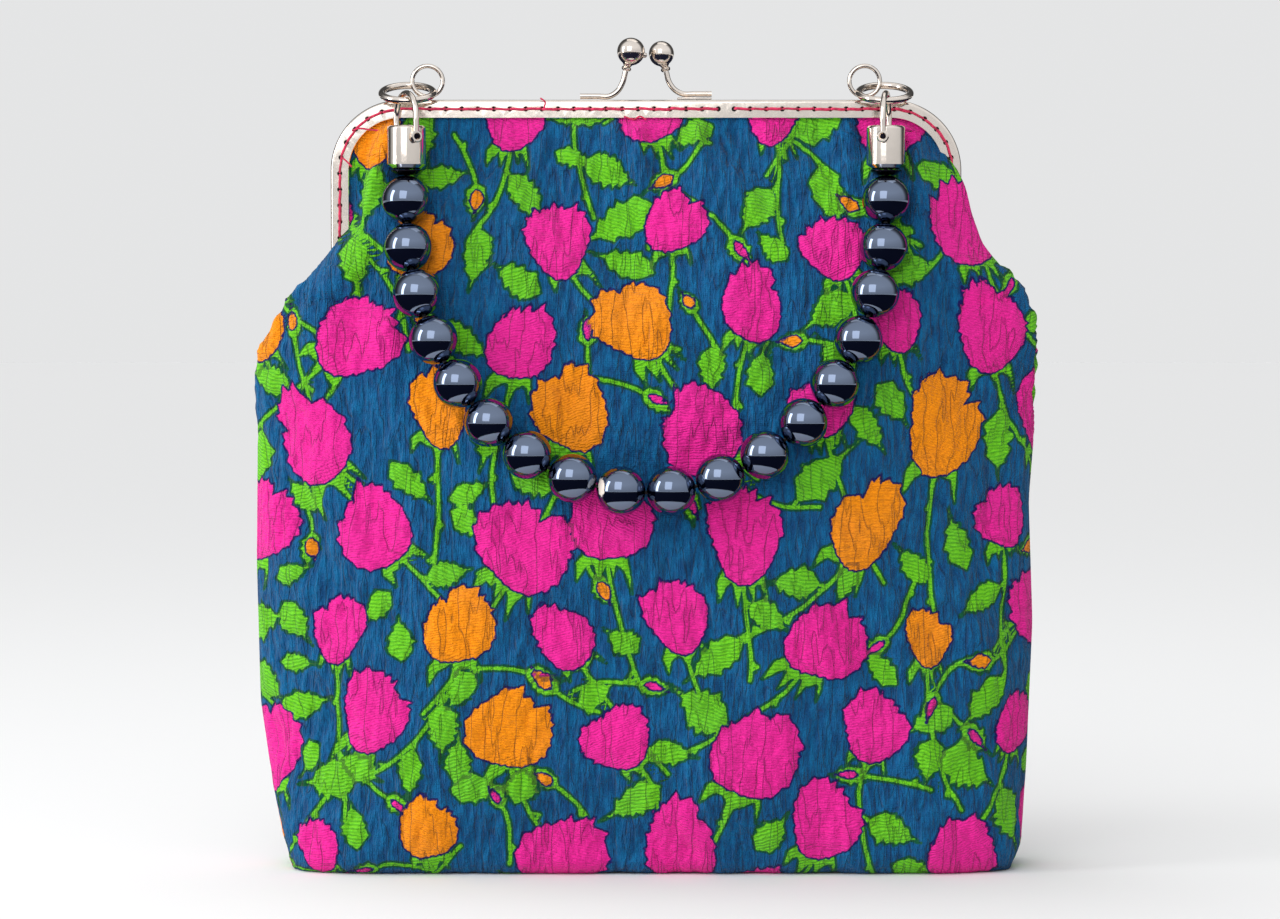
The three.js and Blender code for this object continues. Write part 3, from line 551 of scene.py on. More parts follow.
class Section:
    """One level of a cloth half from the middle to one side, as a path of places and reaches."""

    def __init__(self, z, edges, fold_top, inset=0.0):
        self.z = z
        self.inset = inset
        self.gap = inset * (1 + 1.3 * math.exp(-(((z - 180) / 20) ** 2)))
        self.inner = inner_edge_at(z)
        free = self.inner - 0.9
        outline = float(along(edges, z)) if z < fold_top else free
        if z > fold_top - 8:
            outline = max(min(outline, FRAME_HALF_WIDTH + 6), free) if z < fold_top else free
        self.folded = float(np.clip((outline - free) / 4, 0, 1)) if z > HINGE_Z else 1.0
        self.seam = seam_x(z, outline)
        shoulder = float(smoothstep(fold_top - 22, fold_top, z))
        self.ridge = float(smoothstep(DRAWN_IN_Z, 182, z)) * (8.6 - 4.4 * shoulder)
        if inset:
            self.outline = min(self.seam, free) - inset * 0.6
            self.ridge = 0.0 if z < SEAM_TOP else HEM_REACH - inset * 0.55
        else:
            self.outline = outline

    def reach(self, x):
        """Depth of the face at places from the middle outwards."""
        z = self.z
        level = min(z, RIM_Z)
        width_power = 3.4 + 6 * base_ease(z * 0.7)
        depth_power = 1.35 + 3 * base_ease(z * 0.7)
        share = np.clip(x / self.outline, 0, 1)
        bulge = np.clip(1 - share**width_power, 0, 1) ** (1 / depth_power)
        if z <= RIM_Z:
            return self.ridge + (half_depth(level) - self.gap - self.ridge) * bulge
        drop = np.clip((MOUTH_Z - z) / (MOUTH_Z - RIM_Z), 0, 1) ** 0.88
        hem = HEM_REACH - self.inset * 0.55
        edge = hem + (self.ridge - hem) * self.folded * share**3
        spread = 1 - np.exp(-np.maximum(self.outline - x, 0) / (7 + 13 * (1 - drop)))
        spread = spread * (1 - smoothstep(0.8, 1, drop)) + bulge * smoothstep(0.8, 1, drop)
        return edge + (RIM_HALF_DEPTH - self.gap - edge) * drop * spread

    def turn_in(self):
        """Places from the ridge round to the side seam, or into the frame's channel above it."""
        in_frame = float(smoothstep(SEAM_TOP - 2, HINGE_Z + 1, self.z))
        x, ridge, seam = self.outline, self.ridge, self.seam
        roll = x - seam
        low = [(x - 0.25 * roll, ridge * 0.55), (x - 0.6 * roll, ridge * 0.25), (seam, 0), (seam, 0)]
        guard, folded = FRAME_FACE + 0.9, self.folded
        lip, hem = self.inner - 0.9, HEM_REACH - self.inset * 0.55
        high = [
            (x + 0.3 * folded, (ridge * 0.45 + guard * 0.55) * folded + hem * (1 - folded)),
            (lip + 1.6 * folded, guard * folded + hem * (1 - folded)),
            (lip, hem + 0.6 * folded),
            (lip + 3.4, hem * (1 if self.z > LEG_END else 0.5)),
        ]
        if self.inset:
            low, high = low[-2:], high[-2:]
        return [tuple(a * (1 - in_frame) + b * in_frame for a, b in zip(p, q)) for p, q in zip(low, high)]

    def path(self, columns):
        """Places, reaches and lengths along the cloth of evenly spaced threads, from the middle out."""
        turn = np.linspace(0, math.pi / 2, 90)
        x = self.outline * np.sin(turn) ** 0.9
        face = np.stack([x, self.reach(x)], axis=1)
        smooth = np.array([face[-1], *self.turn_in()])
        for _ in range(2):
            before, after = smooth[:-1], smooth[1:]
            cut = np.stack([before * 0.75 + after * 0.25, before * 0.25 + after * 0.75], 1)
            smooth = np.concatenate([smooth[:1], cut.reshape(-1, 2), smooth[-1:]])
        whole = np.concatenate([face, smooth[1:]])
        length = np.concatenate([[0], np.cumsum(np.hypot(*np.diff(whole, axis=0).T))])
        places = np.linspace(0, length[-1], columns)
        return np.interp(places, length, whole[:, 0]), np.interp(places, length, whole[:, 1]), places


def levels(spacing):
    """Heights from the middle of the base up to the hem, with the share of the depth at each."""
    edge = 1 - BASE_ROUND / BASE_HALF_DEPTH
    under = np.linspace(0, 1, max(3, int((BASE_HALF_DEPTH - BASE_ROUND) / spacing)), endpoint=False)
    rows = [(0.0, share * edge) for share in under]
    for turn in np.linspace(0, math.pi / 2, max(3, int(BASE_ROUND * 1.5 / spacing)), endpoint=False):
        rows.append((BASE_ROUND * (1 - math.cos(turn)), edge + (1 - edge) * math.sin(turn)))
    top = FRAME_TOP - SHEET - 2.2
    rows += [(z, 1.0) for z in np.linspace(BASE_ROUND, top, int((top - BASE_ROUND) / spacing))]
    return rows


def cloth_grid(spacing, side, inset=0.0):
    """Places of one half's cloth, and its flat coordinates, all in millimetres.

    side is -1 for the front half and 1 for the rear one, which is the front one turned half round.
    """
    columns = int(150 / spacing)
    points, flat = [], []
    rise, last = -BASE_HALF_DEPTH, None
    for z, share in levels(spacing):
        halves = []
        for sign, edges, fold_top in ((-1, LEFT_EDGE, LEFT_FOLD_TOP), (1, RIGHT_EDGE, RIGHT_FOLD_TOP)):
            sign *= -side  # seen from behind, the bag's left edge is on the right
            x, reach, u = Section(z, edges, fold_top, inset).path(columns)
            halves.append((sign * x, reach * share, sign * u))
        halves.sort(key=lambda half: half[0][-1])
        x, reach, u = (np.concatenate([halves[0][i][::-1], halves[1][i][1:]]) for i in range(3))
        middle_point = (z, reach[columns - 1])
        if last:
            rise += math.hypot(middle_point[0] - last[0], middle_point[1] - last[1])
        last = middle_point
        lift = inset * (1 - min(z / 30, 1))
        points.append(np.stack([x, -reach, np.full_like(x, z + lift)], axis=1))
        flat.append(np.stack([u, np.full_like(u, rise)], axis=1))
    points = np.array(points)
    if side > 0:
        points[:, :, :2] *= -1
    return points, np.array(flat)


def grid_normals(points):
    normal = np.cross(np.gradient(points, axis=1), np.gradient(points, axis=0))
    return normal / np.maximum(np.linalg.norm(normal, axis=2, keepdims=True), 1e-9)


# Print


def signed_distance(points, outline):
    """Distance of points from a closed outline, negative inside it."""
    start, end = outline, np.roll(outline, -1, axis=0)
    edge = end - start
    offset = points[:, None] - start[None]
    share = np.clip((offset * edge).sum(2) / np.maximum((edge**2).sum(1), 1e-9), 0, 1)
    distance = np.linalg.norm(offset - share[..., None] * edge, axis=2).min(1)
    height = points[:, None, 1]
    crosses = (start[None, :, 1] > height) != (end[None, :, 1] > height)
    slope = edge[:, 0] / np.where(edge[:, 1] == 0, 1e-9, edge[:, 1])
    at = start[None, :, 0] + (height - start[None, :, 1]) * slope
    inside = (crosses & (points[:, None, 0] < at)).sum(1) % 2 == 1
    return np.where(inside, -distance, distance)


def turned_flat(points, angle, place):
    cos, sin = math.cos(angle), math.sin(angle)
    return np.asarray(points) @ np.array([[cos, sin], [-sin, cos]]) + place


class Print:
    """Roses, leaves and stems over the flat cloth, kept as distances at its vertices, in millimetres."""

    FAR = 6.0
    ROWS = (-22.0, 300.0)  # flat cloth that the roses cover, up and across
    COLUMNS = (-168.0, 170.0)
    GAPS = ((-160, -25), (160, 290))  # and the leaves and buds between them, as its two corners
    TRIES = 1600

    def __init__(self, flat, seed, look):
        self.flat = flat.reshape(-1, 2)
        self.rng = np.random.default_rng(seed)
        self.look = look
        count = len(self.flat)
        self.rose = np.full(count, self.FAR)
        self.leaf = np.full(count, self.FAR)
        self.amber = np.zeros(count)
        self.rose_tone = np.full(count, 0.5)
        self.leaf_tone = np.full(count, 0.5)
        self.stem = np.tile((self.FAR, 0.0, self.FAR), (count, 1))
        self.taken = []

    def near(self, outline):
        low, high = outline.min(axis=0) - self.FAR, outline.max(axis=0) + self.FAR
        return np.flatnonzero(((self.flat > low) & (self.flat < high)).all(axis=1))

    def draw(self, field, outline, tone, amber=0.0):
        spots = self.near(outline)
        if not len(spots):
            return
        distance = signed_distance(self.flat[spots], outline)
        closer = distance < field[spots]
        spots, distance = spots[closer], distance[closer]
        field[spots] = distance
        if field is self.rose:
            self.rose_tone[spots] = tone
            self.amber[spots] = amber
        else:
            self.leaf_tone[spots] = tone

    def draw_stem(self, line):
        spots = self.near(line)
        if not len(spots):
            return
        start, edge = line[:-1], np.diff(line, axis=0)
        offset = self.flat[spots][:, None] - start[None]
        share = np.clip((offset * edge).sum(2) / (edge**2).sum(1), 0, 1)
        away = offset - share[..., None] * edge
        distance = np.linalg.norm(away, axis=2)
        nearest = distance.argmin(axis=1)
        away = away[np.arange(len(spots)), nearest]
        distance = distance.min(axis=1)
        closer = distance < np.linalg.norm(self.stem[spots, :2], axis=1)
        far = 2 * np.maximum(distance - 1.6, 0)
        self.stem[spots[closer]] = np.column_stack([away, far])[closer]

    def free(self, place, margin):
        return all(math.dist(place, other) > radius + margin for other, radius in self.taken)

    def rose_outline(self, radius):
        """A full cup below and ragged petal tips above, with one or two deep notches."""
        rng = self.rng
        turn, ring = 0.0, []
        phases = rng.uniform(0, math.tau, 3)
        notches = [(rng.uniform(-0.9, 0.9), rng.uniform(0.12, 0.36)) for _ in range(rng.integers(1, 3))]
        while turn < math.tau - 0.1:
            upper = 0.5 + 0.5 * math.cos(turn)
            tooth = rng.uniform(0.03, 0.12) * (0.3 + upper)
            for ahead, size in ((0.0, 1 + tooth), (rng.uniform(0.04, 0.1), 1 - tooth * 0.7)):
                angle = turn + ahead
                reach = 1 + 0.08 * math.sin(2 * angle + phases[0]) + 0.08 * math.sin(3 * angle + phases[1])
                for at, depth in notches:
                    gap = (angle - at + math.pi) % math.tau - math.pi
                    reach *= 1 - depth * math.exp(-((gap / 0.13) ** 2))
                ring.append((angle, radius * reach * size))
            turn += rng.uniform(0.17, 0.44)
        angle, reach = np.array(ring).T
        width = rng.uniform(0.82, 1.06)
        taper = 1 - 0.13 * (1 - np.cos(angle)) / 2
        return np.stack([reach * np.sin(angle) * width * taper, reach * np.cos(angle)], axis=1)

    def calyx_outline(self, radius):
        """Drooping pointed leaflets under a rose."""
        rng = self.rng
        tips = np.linspace(-0.66, 0.66, rng.integers(3, 5)) * radius
        tips = tips + rng.uniform(-0.09, 0.09, len(tips)) * radius
        points = [(-0.42 * radius, -0.7 * radius)]
        for i, tip in enumerate(tips):
            droop = radius * rng.uniform(1.35, 1.8)
            points += [(tip * 0.86 - 0.13 * radius, -0.7 * droop), (tip, -droop)]
            points.append((tip * 0.8 + 0.06 * radius, -0.76 * droop))
            if i + 1 < len(tips):
                points.append(((tip + tips[i + 1]) * 0.38, -radius * rng.uniform(1.12, 1.2)))
        points.append((0.42 * radius, -0.7 * radius))
        return np.array(points)

    def leaf_outline(self, length, width):
        """A pointed leaf with toothed edges, along +X from its stalk."""
        rng = self.rng
        bend = rng.uniform(-0.16, 0.16)
        sides = []
        for side in (1, -1):
            edge = [(0.0, 0.0)]
            teeth = rng.integers(4, 7)
            for k in range(1, teeth):
                share = (k + rng.uniform(-0.25, 0.25)) / teeth
                half = width / 2 * math.sin(math.pi * share**0.75) ** 0.8
                edge.append((share - 0.03, half * rng.uniform(0.72, 0.9)))
                edge.append((share + 0.03, half * rng.uniform(1.02, 1.28)))
            edge += [(0.92, width * 0.06), (rng.uniform(1.12, 1.3), 0.0)]
            sides.append([(x * length, side * y + bend * length * x * x) for x, y in edge])
        return np.array(sides[0] + sides[1][::-1][1:-1])

    def add_leaf(self, place, angle, size):
        length = size * self.rng.uniform(0.95, 1.2)
        width = size * self.rng.uniform(0.5, 0.76)
        outline = turned_flat(self.leaf_outline(length, width), angle, place)
        centre = outline.mean(axis=0)
        if self.free(centre, size * 0.3):
            self.draw(self.leaf, outline, self.rng.uniform())
            self.taken.append((tuple(centre), size * 0.42))

    def add_stem(self, place, angle, length, leaves):
        """A stem that runs on from a place, with a leaf by turns on either side."""
        rng = self.rng
        steps = 12
        bends = rng.normal(0, 0.07, steps) + rng.uniform(-0.08, 0.08)
        angles = angle + np.cumsum(bends)
        strides = np.stack([np.cos(angles), np.sin(angles)], axis=1) * length / steps
        line = np.vstack([place, place + np.cumsum(strides, axis=0)])
        self.draw_stem(line)
        side = rng.choice((-1, 1))
        for k in range(leaves):
            at = min(int(steps * (k + 1.1) / (leaves + 0.6)), steps - 1)
            turn = angles[at] + side * rng.uniform(0.55, 1.1)
            foot = line[at] + np.array([math.cos(turn), math.sin(turn)]) * rng.uniform(1.2, 3.0)
            self.draw_stem(np.array([line[at], foot]))
            self.add_leaf(foot, turn, rng.uniform(13.0, 20.0))
            side = -side

    def add_rose(self, place, radius, tilt, amber):
        rng = self.rng
        outline = turned_flat(self.rose_outline(radius), tilt, place)
        self.draw(self.rose, outline, rng.uniform(), amber)
        self.draw(self.leaf, turned_flat(self.calyx_outline(radius * 0.92), tilt, place), rng.uniform(0, 0.6))
        foot = turned_flat([(0.0, -radius * 0.9)], tilt, place)[0]
        droop = -math.pi / 2 + tilt
        self.add_stem(foot, droop, rng.uniform(34.0, 56.0), rng.integers(2, 4))

    def add_bud(self, place, angle, amber):
        """A small bud: a green case with a slit of petal."""
        rng = self.rng
        size = rng.uniform(7.0, 10.0)
        case = self.leaf_outline(size * 1.3, size * 0.7)
        self.draw(self.leaf, turned_flat(case, angle, place), rng.uniform(0, 0.6))
        slit = self.leaf_outline(size * 0.8, size * (0.42 if amber else 0.26)) + (size * 0.3, 0)
        self.draw(self.rose, turned_flat(slit, angle, place), rng.uniform(), amber)
        self.add_stem(np.asarray(place), angle + math.pi, rng.uniform(14.0, 24.0), 1)
        self.taken.append((tuple(place), size * 0.7))

    def lay_out(self):
        """Rows of roses, each row set over by half a step, with leaves and buds in the gaps."""
        rng, look = self.rng, self.look
        places = []
        for row, v in enumerate(np.arange(*self.ROWS, look.row_spacing)):
            start = self.COLUMNS[0] + (row % 2) * look.column_spacing / 2
            for u in np.arange(start, self.COLUMNS[1], look.column_spacing):
                place = np.array([u, v]) + rng.uniform(-7.5, 7.5, 2)
                radius = rng.uniform(look.smallest_rose, look.largest_rose)
                places.append((place, radius))
                self.taken.append((tuple(place), radius))
        for place, radius in places:
            amber = float(rng.uniform() < look.amber_share)
            self.add_rose(place, radius, rng.normal(0, 0.38), amber)
        for _ in range(self.TRIES):
            place = rng.uniform(*self.GAPS)
            if not self.free(place, 3.5):
                continue
            angle = rng.uniform(0, math.tau)
            if rng.uniform() < 0.16:
                self.add_bud(place, angle, float(rng.uniform() < 0.5))
            else:
                self.add_leaf(place, angle, rng.uniform(11.0, 16.0))
        return self


# Folds of the cloth: two ends as across and up, half width, height
PLEATS = (
    ((-87, 230), (-79, 226), 1.3, -1.9), ((-88, 221), (-79, 219), 1.3, -1.6),
    ((-86, 225), (-80, 223), 2.6, 1.4), ((-82, 243), (-91, 206), 3.6, 3.6),
    ((-90, 240), (-95, 212), 2.2, -2.4), ((-76, 240), (-80, 208), 2.6, -1.7),
    ((84, 245), (91, 205), 3.2, 3.2), ((79, 240), (83, 208), 2.4, -2.0),
    ((73, 243), (74, 222), 2.2, 0.9), ((-96, 205), (-112, 168), 5.0, 1.8),
    ((-88, 198), (-100, 158), 4.0, -1.6), ((99, 214), (112, 176), 4.6, 1.6),
    ((92, 206), (102, 164), 4.2, -1.7), ((84, 192), (93, 150), 4.6, 1.0),
    ((-80, 190), (-86, 152), 4.4, 1.1), ((-118, 150), (-104, 96), 6.5, -1.6),
    ((118, 148), (106, 88), 6.0, -1.5), ((-112, 34), (-84, 18), 5.0, -1.5),
    ((110, 40), (80, 16), 5.5, -1.4), ((-60, 13), (40, 9), 5.0, -0.8),
    ((-30, 236), (-34, 205), 3.6, -0.8), ((22, 238), (26, 200), 4.0, -0.7),
    ((-112, 104), (-96, 60), 5.0, 1.2), ((112, 92), (100, 54), 5.0, 1.3),
)


def folds(points, seed):
    """Height of the pleats, gathers and soft unevenness over the face of a cloth half."""
    x, z = points[:, :, 0], points[:, :, 2]
    total = 1.3 * wobble(x, z, 62, seed) + 0.6 * wobble(x * 1.5, z * 0.8, 24, seed + 1)
    total = total + 0.26 * wobble(x * 1.6, z * 0.7, 9, seed + 4, 10)
    rng = np.random.default_rng(seed + 2)
    gathers = []
    for _ in range(30):
        at, drop = rng.uniform(-82, 82), rng.uniform(14, 46)
        height = rng.choice((-1, 1)) * rng.uniform(0.5, 1.2)
        foot = (at + rng.normal(0, 2.5), 246 - drop)
        gathers.append(((at, 247), foot, rng.uniform(1.5, 3.0), height))
    for (x0, z0), (x1, z1), width, height in (*PLEATS, *gathers):
        dx, dz = x1 - x0, z1 - z0
        share = ((x - x0) * dx + (z - z0) * dz) / (dx * dx + dz * dz)
        held = np.clip(share, 0, 1)
        away = np.hypot(x - x0 - held * dx, z - z0 - held * dz)
        total += height * np.exp(-((away / width) ** 2)) * (1 - smoothstep(0.45, 1.0, share) * 0.6)
    return total


class ClothSettings(bpy.types.PropertyGroup):
    """Printed cloth"""

    spacing: FloatProperty(
        name="Mesh spacing", description="Between threads of the mesh", unit="LENGTH", default=1.15 * MM
    )
    front_seed: IntProperty(name="Front layout", description="Layout of the front half's print", default=7)
    rear_seed: IntProperty(name="Rear layout", description="Layout of the rear half's print", default=11)
    row_spacing: FloatProperty(
        name="Row spacing", description="Between rows of roses", unit="LENGTH", default=33.0 * MM
    )
    column_spacing: FloatProperty(
        name="Column spacing", description="Between roses in a row", unit="LENGTH", default=41.0 * MM
    )
    smallest_rose: FloatProperty(
        name="Smallest rose", description="Radius of the smallest rose", unit="LENGTH", default=9.0 * MM
    )
    largest_rose: FloatProperty(
        name="Largest rose", description="Radius of the largest rose", unit="LENGTH", default=15.5 * MM
    )
    amber_share: FloatProperty(name="Orange share", description="Share of roses in orange", default=0.15)
    stem_width: FloatProperty(
        name="Stem width", description="Width of a stem", unit="LENGTH", default=1.15 * MM
    )
    outline: FloatProperty(
        name="Outline", description="Width of the dark line round a motif", unit="LENGTH", default=0.6 * MM
    )
    rib_pitch: FloatProperty(
        name="Rib pitch", description="Between the weave's ribs", unit="LENGTH", default=1.15 * MM
    )
    puff: FloatProperty(
        name="Puff", description="Height of a motif over the ground", unit="LENGTH", default=0.6 * MM
    )
    ground: FloatVectorProperty(
        name="Ground", description="Colour of the ground", subtype="COLOR", default=colour(0, 102, 154)
    )
    # Painted shade of the ground in its crinkle hollows; the weave's picks and broad patches are also
    # darkened towards this colour.
    ground_shade: FloatVectorProperty(
        name="Ground shade", description="Ground in its crinkles",
        subtype="COLOR", default=colour(0, 68, 118),
    )
    ground_thread: FloatVectorProperty(
        name="Ground thread", description="Lighter threads in the ground",
        subtype="COLOR", default=colour(8, 110, 160),
    )
    petal: FloatVectorProperty(
        name="Petal", description="Colour of the pink roses", subtype="COLOR", default=colour(238, 34, 152)
    )
    petal_shade: FloatVectorProperty(
        name="Petal shade", description="Darker threads in the roses",
        subtype="COLOR", default=colour(174, 10, 108),
    )
    petal_outline: FloatVectorProperty(
        name="Petal outline", description="Line round the roses",
        subtype="COLOR", default=colour(16, 14, 92),
    )
    amber: FloatVectorProperty(
        name="Orange", description="Colour of the orange roses",
        subtype="COLOR", default=colour(248, 146, 0),
    )
    amber_shade: FloatVectorProperty(
        name="Orange shade", description="Darker threads in the orange",
        subtype="COLOR", default=colour(208, 96, 0),
    )
    leaf: FloatVectorProperty(
        name="Leaf", description="Colour of leaves and stems", subtype="COLOR", default=colour(110, 202, 26)
    )
    leaf_shade: FloatVectorProperty(
        name="Leaf shade", description="Darker threads in the leaves",
        subtype="COLOR", default=colour(50, 144, 18),
    )
    # Painted shade: the tint that darkens the cloth along its crease lines.
    crease: FloatVectorProperty(
        name="Crease", description="Tint of the cloth in its creases",
        subtype="COLOR", default=(0.25, 0.25, 0.3),
    )
    leaf_outline: FloatVectorProperty(
        name="Leaf outline", description="Line round leaves and stems",
        subtype="COLOR", default=colour(0, 82, 48),
    )


def held_down(points):
    """Share of the folds at each point: none at the seams, the hem and the middle of the base."""
    rows, columns = points.shape[:2]
    steps = np.linalg.norm(np.diff(points, axis=1), axis=2)
    across = np.concatenate([np.zeros((rows, 1)), np.cumsum(steps, axis=1)], axis=1)
    from_seam = np.minimum(across, across[:, -1:] - across)
    seam = smoothstep(0, 9, from_seam)
    hem = 1 - smoothstep(MOUTH_Z - 5, MOUTH_Z + 1, points[:, :, 2])
    lip = smoothstep(0, 6, np.vectorize(inner_edge_at)(points[:, :, 2]) - np.abs(points[:, :, 0]))
    lip = np.where(points[:, :, 2] > HINGE_Z + 6, np.maximum(lip, 0.15), 1)
    base = smoothstep(1, 9, np.abs(points[:, :, 1]))
    base = np.maximum(base, smoothstep(3, 8, points[:, :, 2]))
    floor = 0.25 + 0.75 * smoothstep(1.0, 7.0, points[:, :, 2])
    return seam * hem * lip * base * floor


def behind_beads(points):
    """Keeps the front cloth clear of the beads and end caps that hang before it."""
    x, y, z = points[:, :, 0], points[:, :, 1], points[:, :, 2]
    for name in ("left_end_cap", "right_end_cap", "left_bead_cap", "right_bead_cap"):
        low, high = box(name)
        centre = (low + high) / 2
        inside = ((high.x - low.x) / 2 + 0.6) ** 2 - (x - centre.x) ** 2
        back = centre.y + np.sqrt(np.maximum(inside, 0)) + 0.25
        level = smoothstep(low.z - 3, low.z, z) * (1 - smoothstep(high.z, high.z + 3, z))
        y = np.where((inside > 0) & (y < back), y + (back - y) * level, y)
    for name in BEADS:
        centre = middle(name)
        inside = (BEAD_RADIUS + 0.4) ** 2 - (x - centre.x) ** 2 - (z - centre.z) ** 2
        back = centre.y + np.sqrt(np.maximum(inside, 0)) + 0.25
        y = np.where((inside > 0) & (y < back), back, y)
    points[:, :, 1] = y
    return points


def declare_cloth(points):
    """Works out the area of a half's cloth; nothing is done with it."""
    across, up = np.diff(points, axis=1)[:-1], np.diff(points, axis=0)[:, :-1]
    area = float(np.linalg.norm(np.cross(across, up), axis=2).sum()) * MM * MM


class HANDBAG_OT_cloth(bpy.types.Operator):
    """Makes the two halves of printed cloth that hang in the frame"""

    bl_idname = "handbag.cloth"
    bl_label = "Printed cloth"

    def execute(self, context):
        look = settings("handbag_cloth")
        spacing = look.spacing * 1
        material = jacquard(look)
        for half, side, seed in (("front", -1, look.front_seed), ("rear", 1, look.rear_seed)):
            points, flat = cloth_grid(spacing, side)
            pattern = Print(flat, seed, look).lay_out()
            rows, columns = points.shape[:2]
            rose, leaf = pattern.rose.reshape(rows, columns), pattern.leaf.reshape(rows, columns)
            u, v = flat[:, :, 0], flat[:, :, 1]
            normals = grid_normals(points)
            hold = held_down(points)
            motif = np.maximum(1 - smoothstep(-2.2, 0.4, rose), 0.7 * (1 - smoothstep(-1.6, 0.4, leaf)))
            crinkle = 0.34 * wobble(u * 1.9, v * 0.55, 6.0, seed + 20, 14) * (1 - 0.6 * motif)
            creases = 0.24 * wobble(u * 1.3, v * 0.7, 7.0, seed + 30, 10) * motif
            height = folds(points, seed + 3) + look.puff * (motif - 0.4) + crinkle + creases
            smooth = points
            points = points + normals * (height * hold)[..., None]
            points[:, :, 2] = np.maximum(points[:, :, 2], 0.0)
            if side < 0:
                points = behind_beads(points)
            piece = mesh_piece(f"{half}_cloth", points.reshape(-1, 3), grid_faces(rows, columns), material)
            mesh = piece.data
            for name in ("rose", "leaf", "amber", "rose_tone", "leaf_tone", "stem"):
                add_attribute(mesh, name, getattr(pattern, name))
            map_cloth(mesh, flat)
            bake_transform(piece)
            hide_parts("bag_body", f"{half}_upper_panel")
            declare_cloth(smooth)
        return {"FINISHED"}


def map_cloth(mesh, flat):
    """The cloth's own flat coordinates as its UV map."""
    corners = np.empty(len(mesh.loops), np.int32)
    mesh.loops.foreach_get("vertex_index", corners)
    spots = (flat.reshape(-1, 2) + (CLOTH_SPAN / 2, 30.0)) / CLOTH_SPAN
    layer = mesh.uv_layers.new(name="cloth")
    layer.data.foreach_set("uv", spots[corners].astype(np.float32).ravel())


LINING_SPACING = 3.0
LINING_INSET = 4.2


class HANDBAG_OT_lining(bpy.types.Operator):
    """Makes the plain lining inside the bag"""

    bl_idname = "handbag.lining"
    bl_label = "Lining"

    def execute(self, context):
        material = lining_cloth()
        for half, side in (("front", -1), ("rear", 1)):
            points, flat = cloth_grid(LINING_SPACING, side, inset=LINING_INSET)
            ripple = 0.4 * wobble(points[:, :, 0], points[:, :, 2] * 0.4, 22, 5 + side)
            points = points - grid_normals(points) * ((0.6 + ripple) * held_down(points))[..., None]
            faces = grid_faces(*points.shape[:2], flip=True)
            piece = mesh_piece(f"{half}_lining", points.reshape(-1, 3), faces, material)
            map_cloth(piece.data, flat)
            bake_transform(piece)
            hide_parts("bag_lining")
            declare_cloth(points)
        return {"FINISHED"}


# Frame


def rail_line(inset):
    """Places along the frame's face, that far in from its outer edge, up the left leg and down the right."""
    radius = CORNER_RADIUS - inset
    half = FRAME_HALF_WIDTH - inset
    line = [(-half, z) for z in np.linspace(LEG_END, CORNER_Z, 8, endpoint=False)]
    for turn in np.linspace(math.pi, math.pi / 2, 28, endpoint=False):
        line.append((-CORNER_X + radius * math.cos(turn), CORNER_Z + radius * math.sin(turn)))
    line += [(x, FRAME_TOP - inset) for x in np.linspace(-CORNER_X, CORNER_X, 24, endpoint=False)]
    for turn in np.linspace(math.pi / 2, 0, 28, endpoint=False):
        line.append((CORNER_X + radius * math.cos(turn), CORNER_Z + radius * math.sin(turn)))
    line += [(half, z) for z in np.linspace(CORNER_Z, LEG_END, 9)]
    return np.array(line)


def stitch_places():
    """Holes along the middle of the face: across, up, and the way the row runs, for the right side."""
    radius = CORNER_RADIUS - RAIL_WIDTH / 2
    arc = radius * math.pi / 2
    places = []
    for s in np.arange(HOLE_PITCH / 2, CORNER_X + arc + CORNER_Z - LEG_END - HOLE_RADIUS * 4, HOLE_PITCH):
        if s < CORNER_X:
            places.append((s, FRAME_TOP - RAIL_WIDTH / 2, 0.0))
        elif s < CORNER_X + arc:
            turn = (s - CORNER_X) / radius
            places.append((CORNER_X + radius * math.sin(turn), CORNER_Z + radius * math.cos(turn), -turn))
        else:
            places.append((FRAME_HALF_WIDTH - RAIL_WIDTH / 2, CORNER_Z - (s - CORNER_X - arc), -math.pi / 2))
    return places


def bent_round(section):
    """A section of insets and depths, bent round the U of the front half."""
    lines = np.array([rail_line(inset) for inset, _ in section])
    depths = np.array([depth for _, depth in section])
    return skin([np.stack([line[:, 0], -depths, line[:, 1]], axis=1) for line in lines.swapaxes(0, 1)])


def channel():
    """The metal of one half: a rounded channel that opens towards the cloth."""
    face, back, edge = FRAME_FACE, CLOSING_GAP, 1.1
    section = [(RAIL_WIDTH, face - 0.2), (RAIL_WIDTH - 0.2, face)]
    for turn in np.linspace(0, math.pi / 2, 7):
        section.append((edge * (1 - math.sin(turn)), face - edge * (1 - math.cos(turn))))
    section += [(0.0, back + 0.3), (0.3, back), (RAIL_WIDTH, back), (RAIL_WIDTH, back + SHEET)]
    section += [(SHEET + 0.2, back + SHEET), (SHEET, back + SHEET + 0.2), (SHEET, face - SHEET - 0.5)]
    section += [(SHEET + 0.5, face - SHEET), (RAIL_WIDTH, face - SHEET)]
    return bent_round(section)


def hole_shade_cord():
    """The flat cord pressed into the channel behind the holes; its near-black colour is painted shade, so the
    holes read dark.
    """
    half, low, high = 1.7, FRAME_FACE - SHEET - 0.55, FRAME_FACE - SHEET - 0.15
    corners = ((-1, low), (-1, high), (1, high), (1, low))
    return bent_round([(RAIL_WIDTH / 2 + s * half, depth) for s, depth in corners])


def hinge_tab(side, outside):
    """The leg's lower tab with its round end, `outside` from the middle of the bag."""
    turn = np.linspace(math.pi, math.pi * 1.93, 18)
    outline = [(-FRAME_FACE, LEG_END + RAIL_WIDTH)]
    outline += [(FRAME_FACE * math.cos(a), HINGE_Z + FRAME_FACE * math.sin(a)) for a in turn]
    outline += [(FRAME_FACE, HINGE_Z + 0.4), (FRAME_FACE * 0.7, HINGE_Z + 3.0)]
    outline += [(-CLOSING_GAP, LEG_END), (-CLOSING_GAP, LEG_END + RAIL_WIDTH)]
    sheets = [outside, outside - SHEET]
    return skin([np.array([(side * x, y, z) for y, z in outline]) for x in sheets])


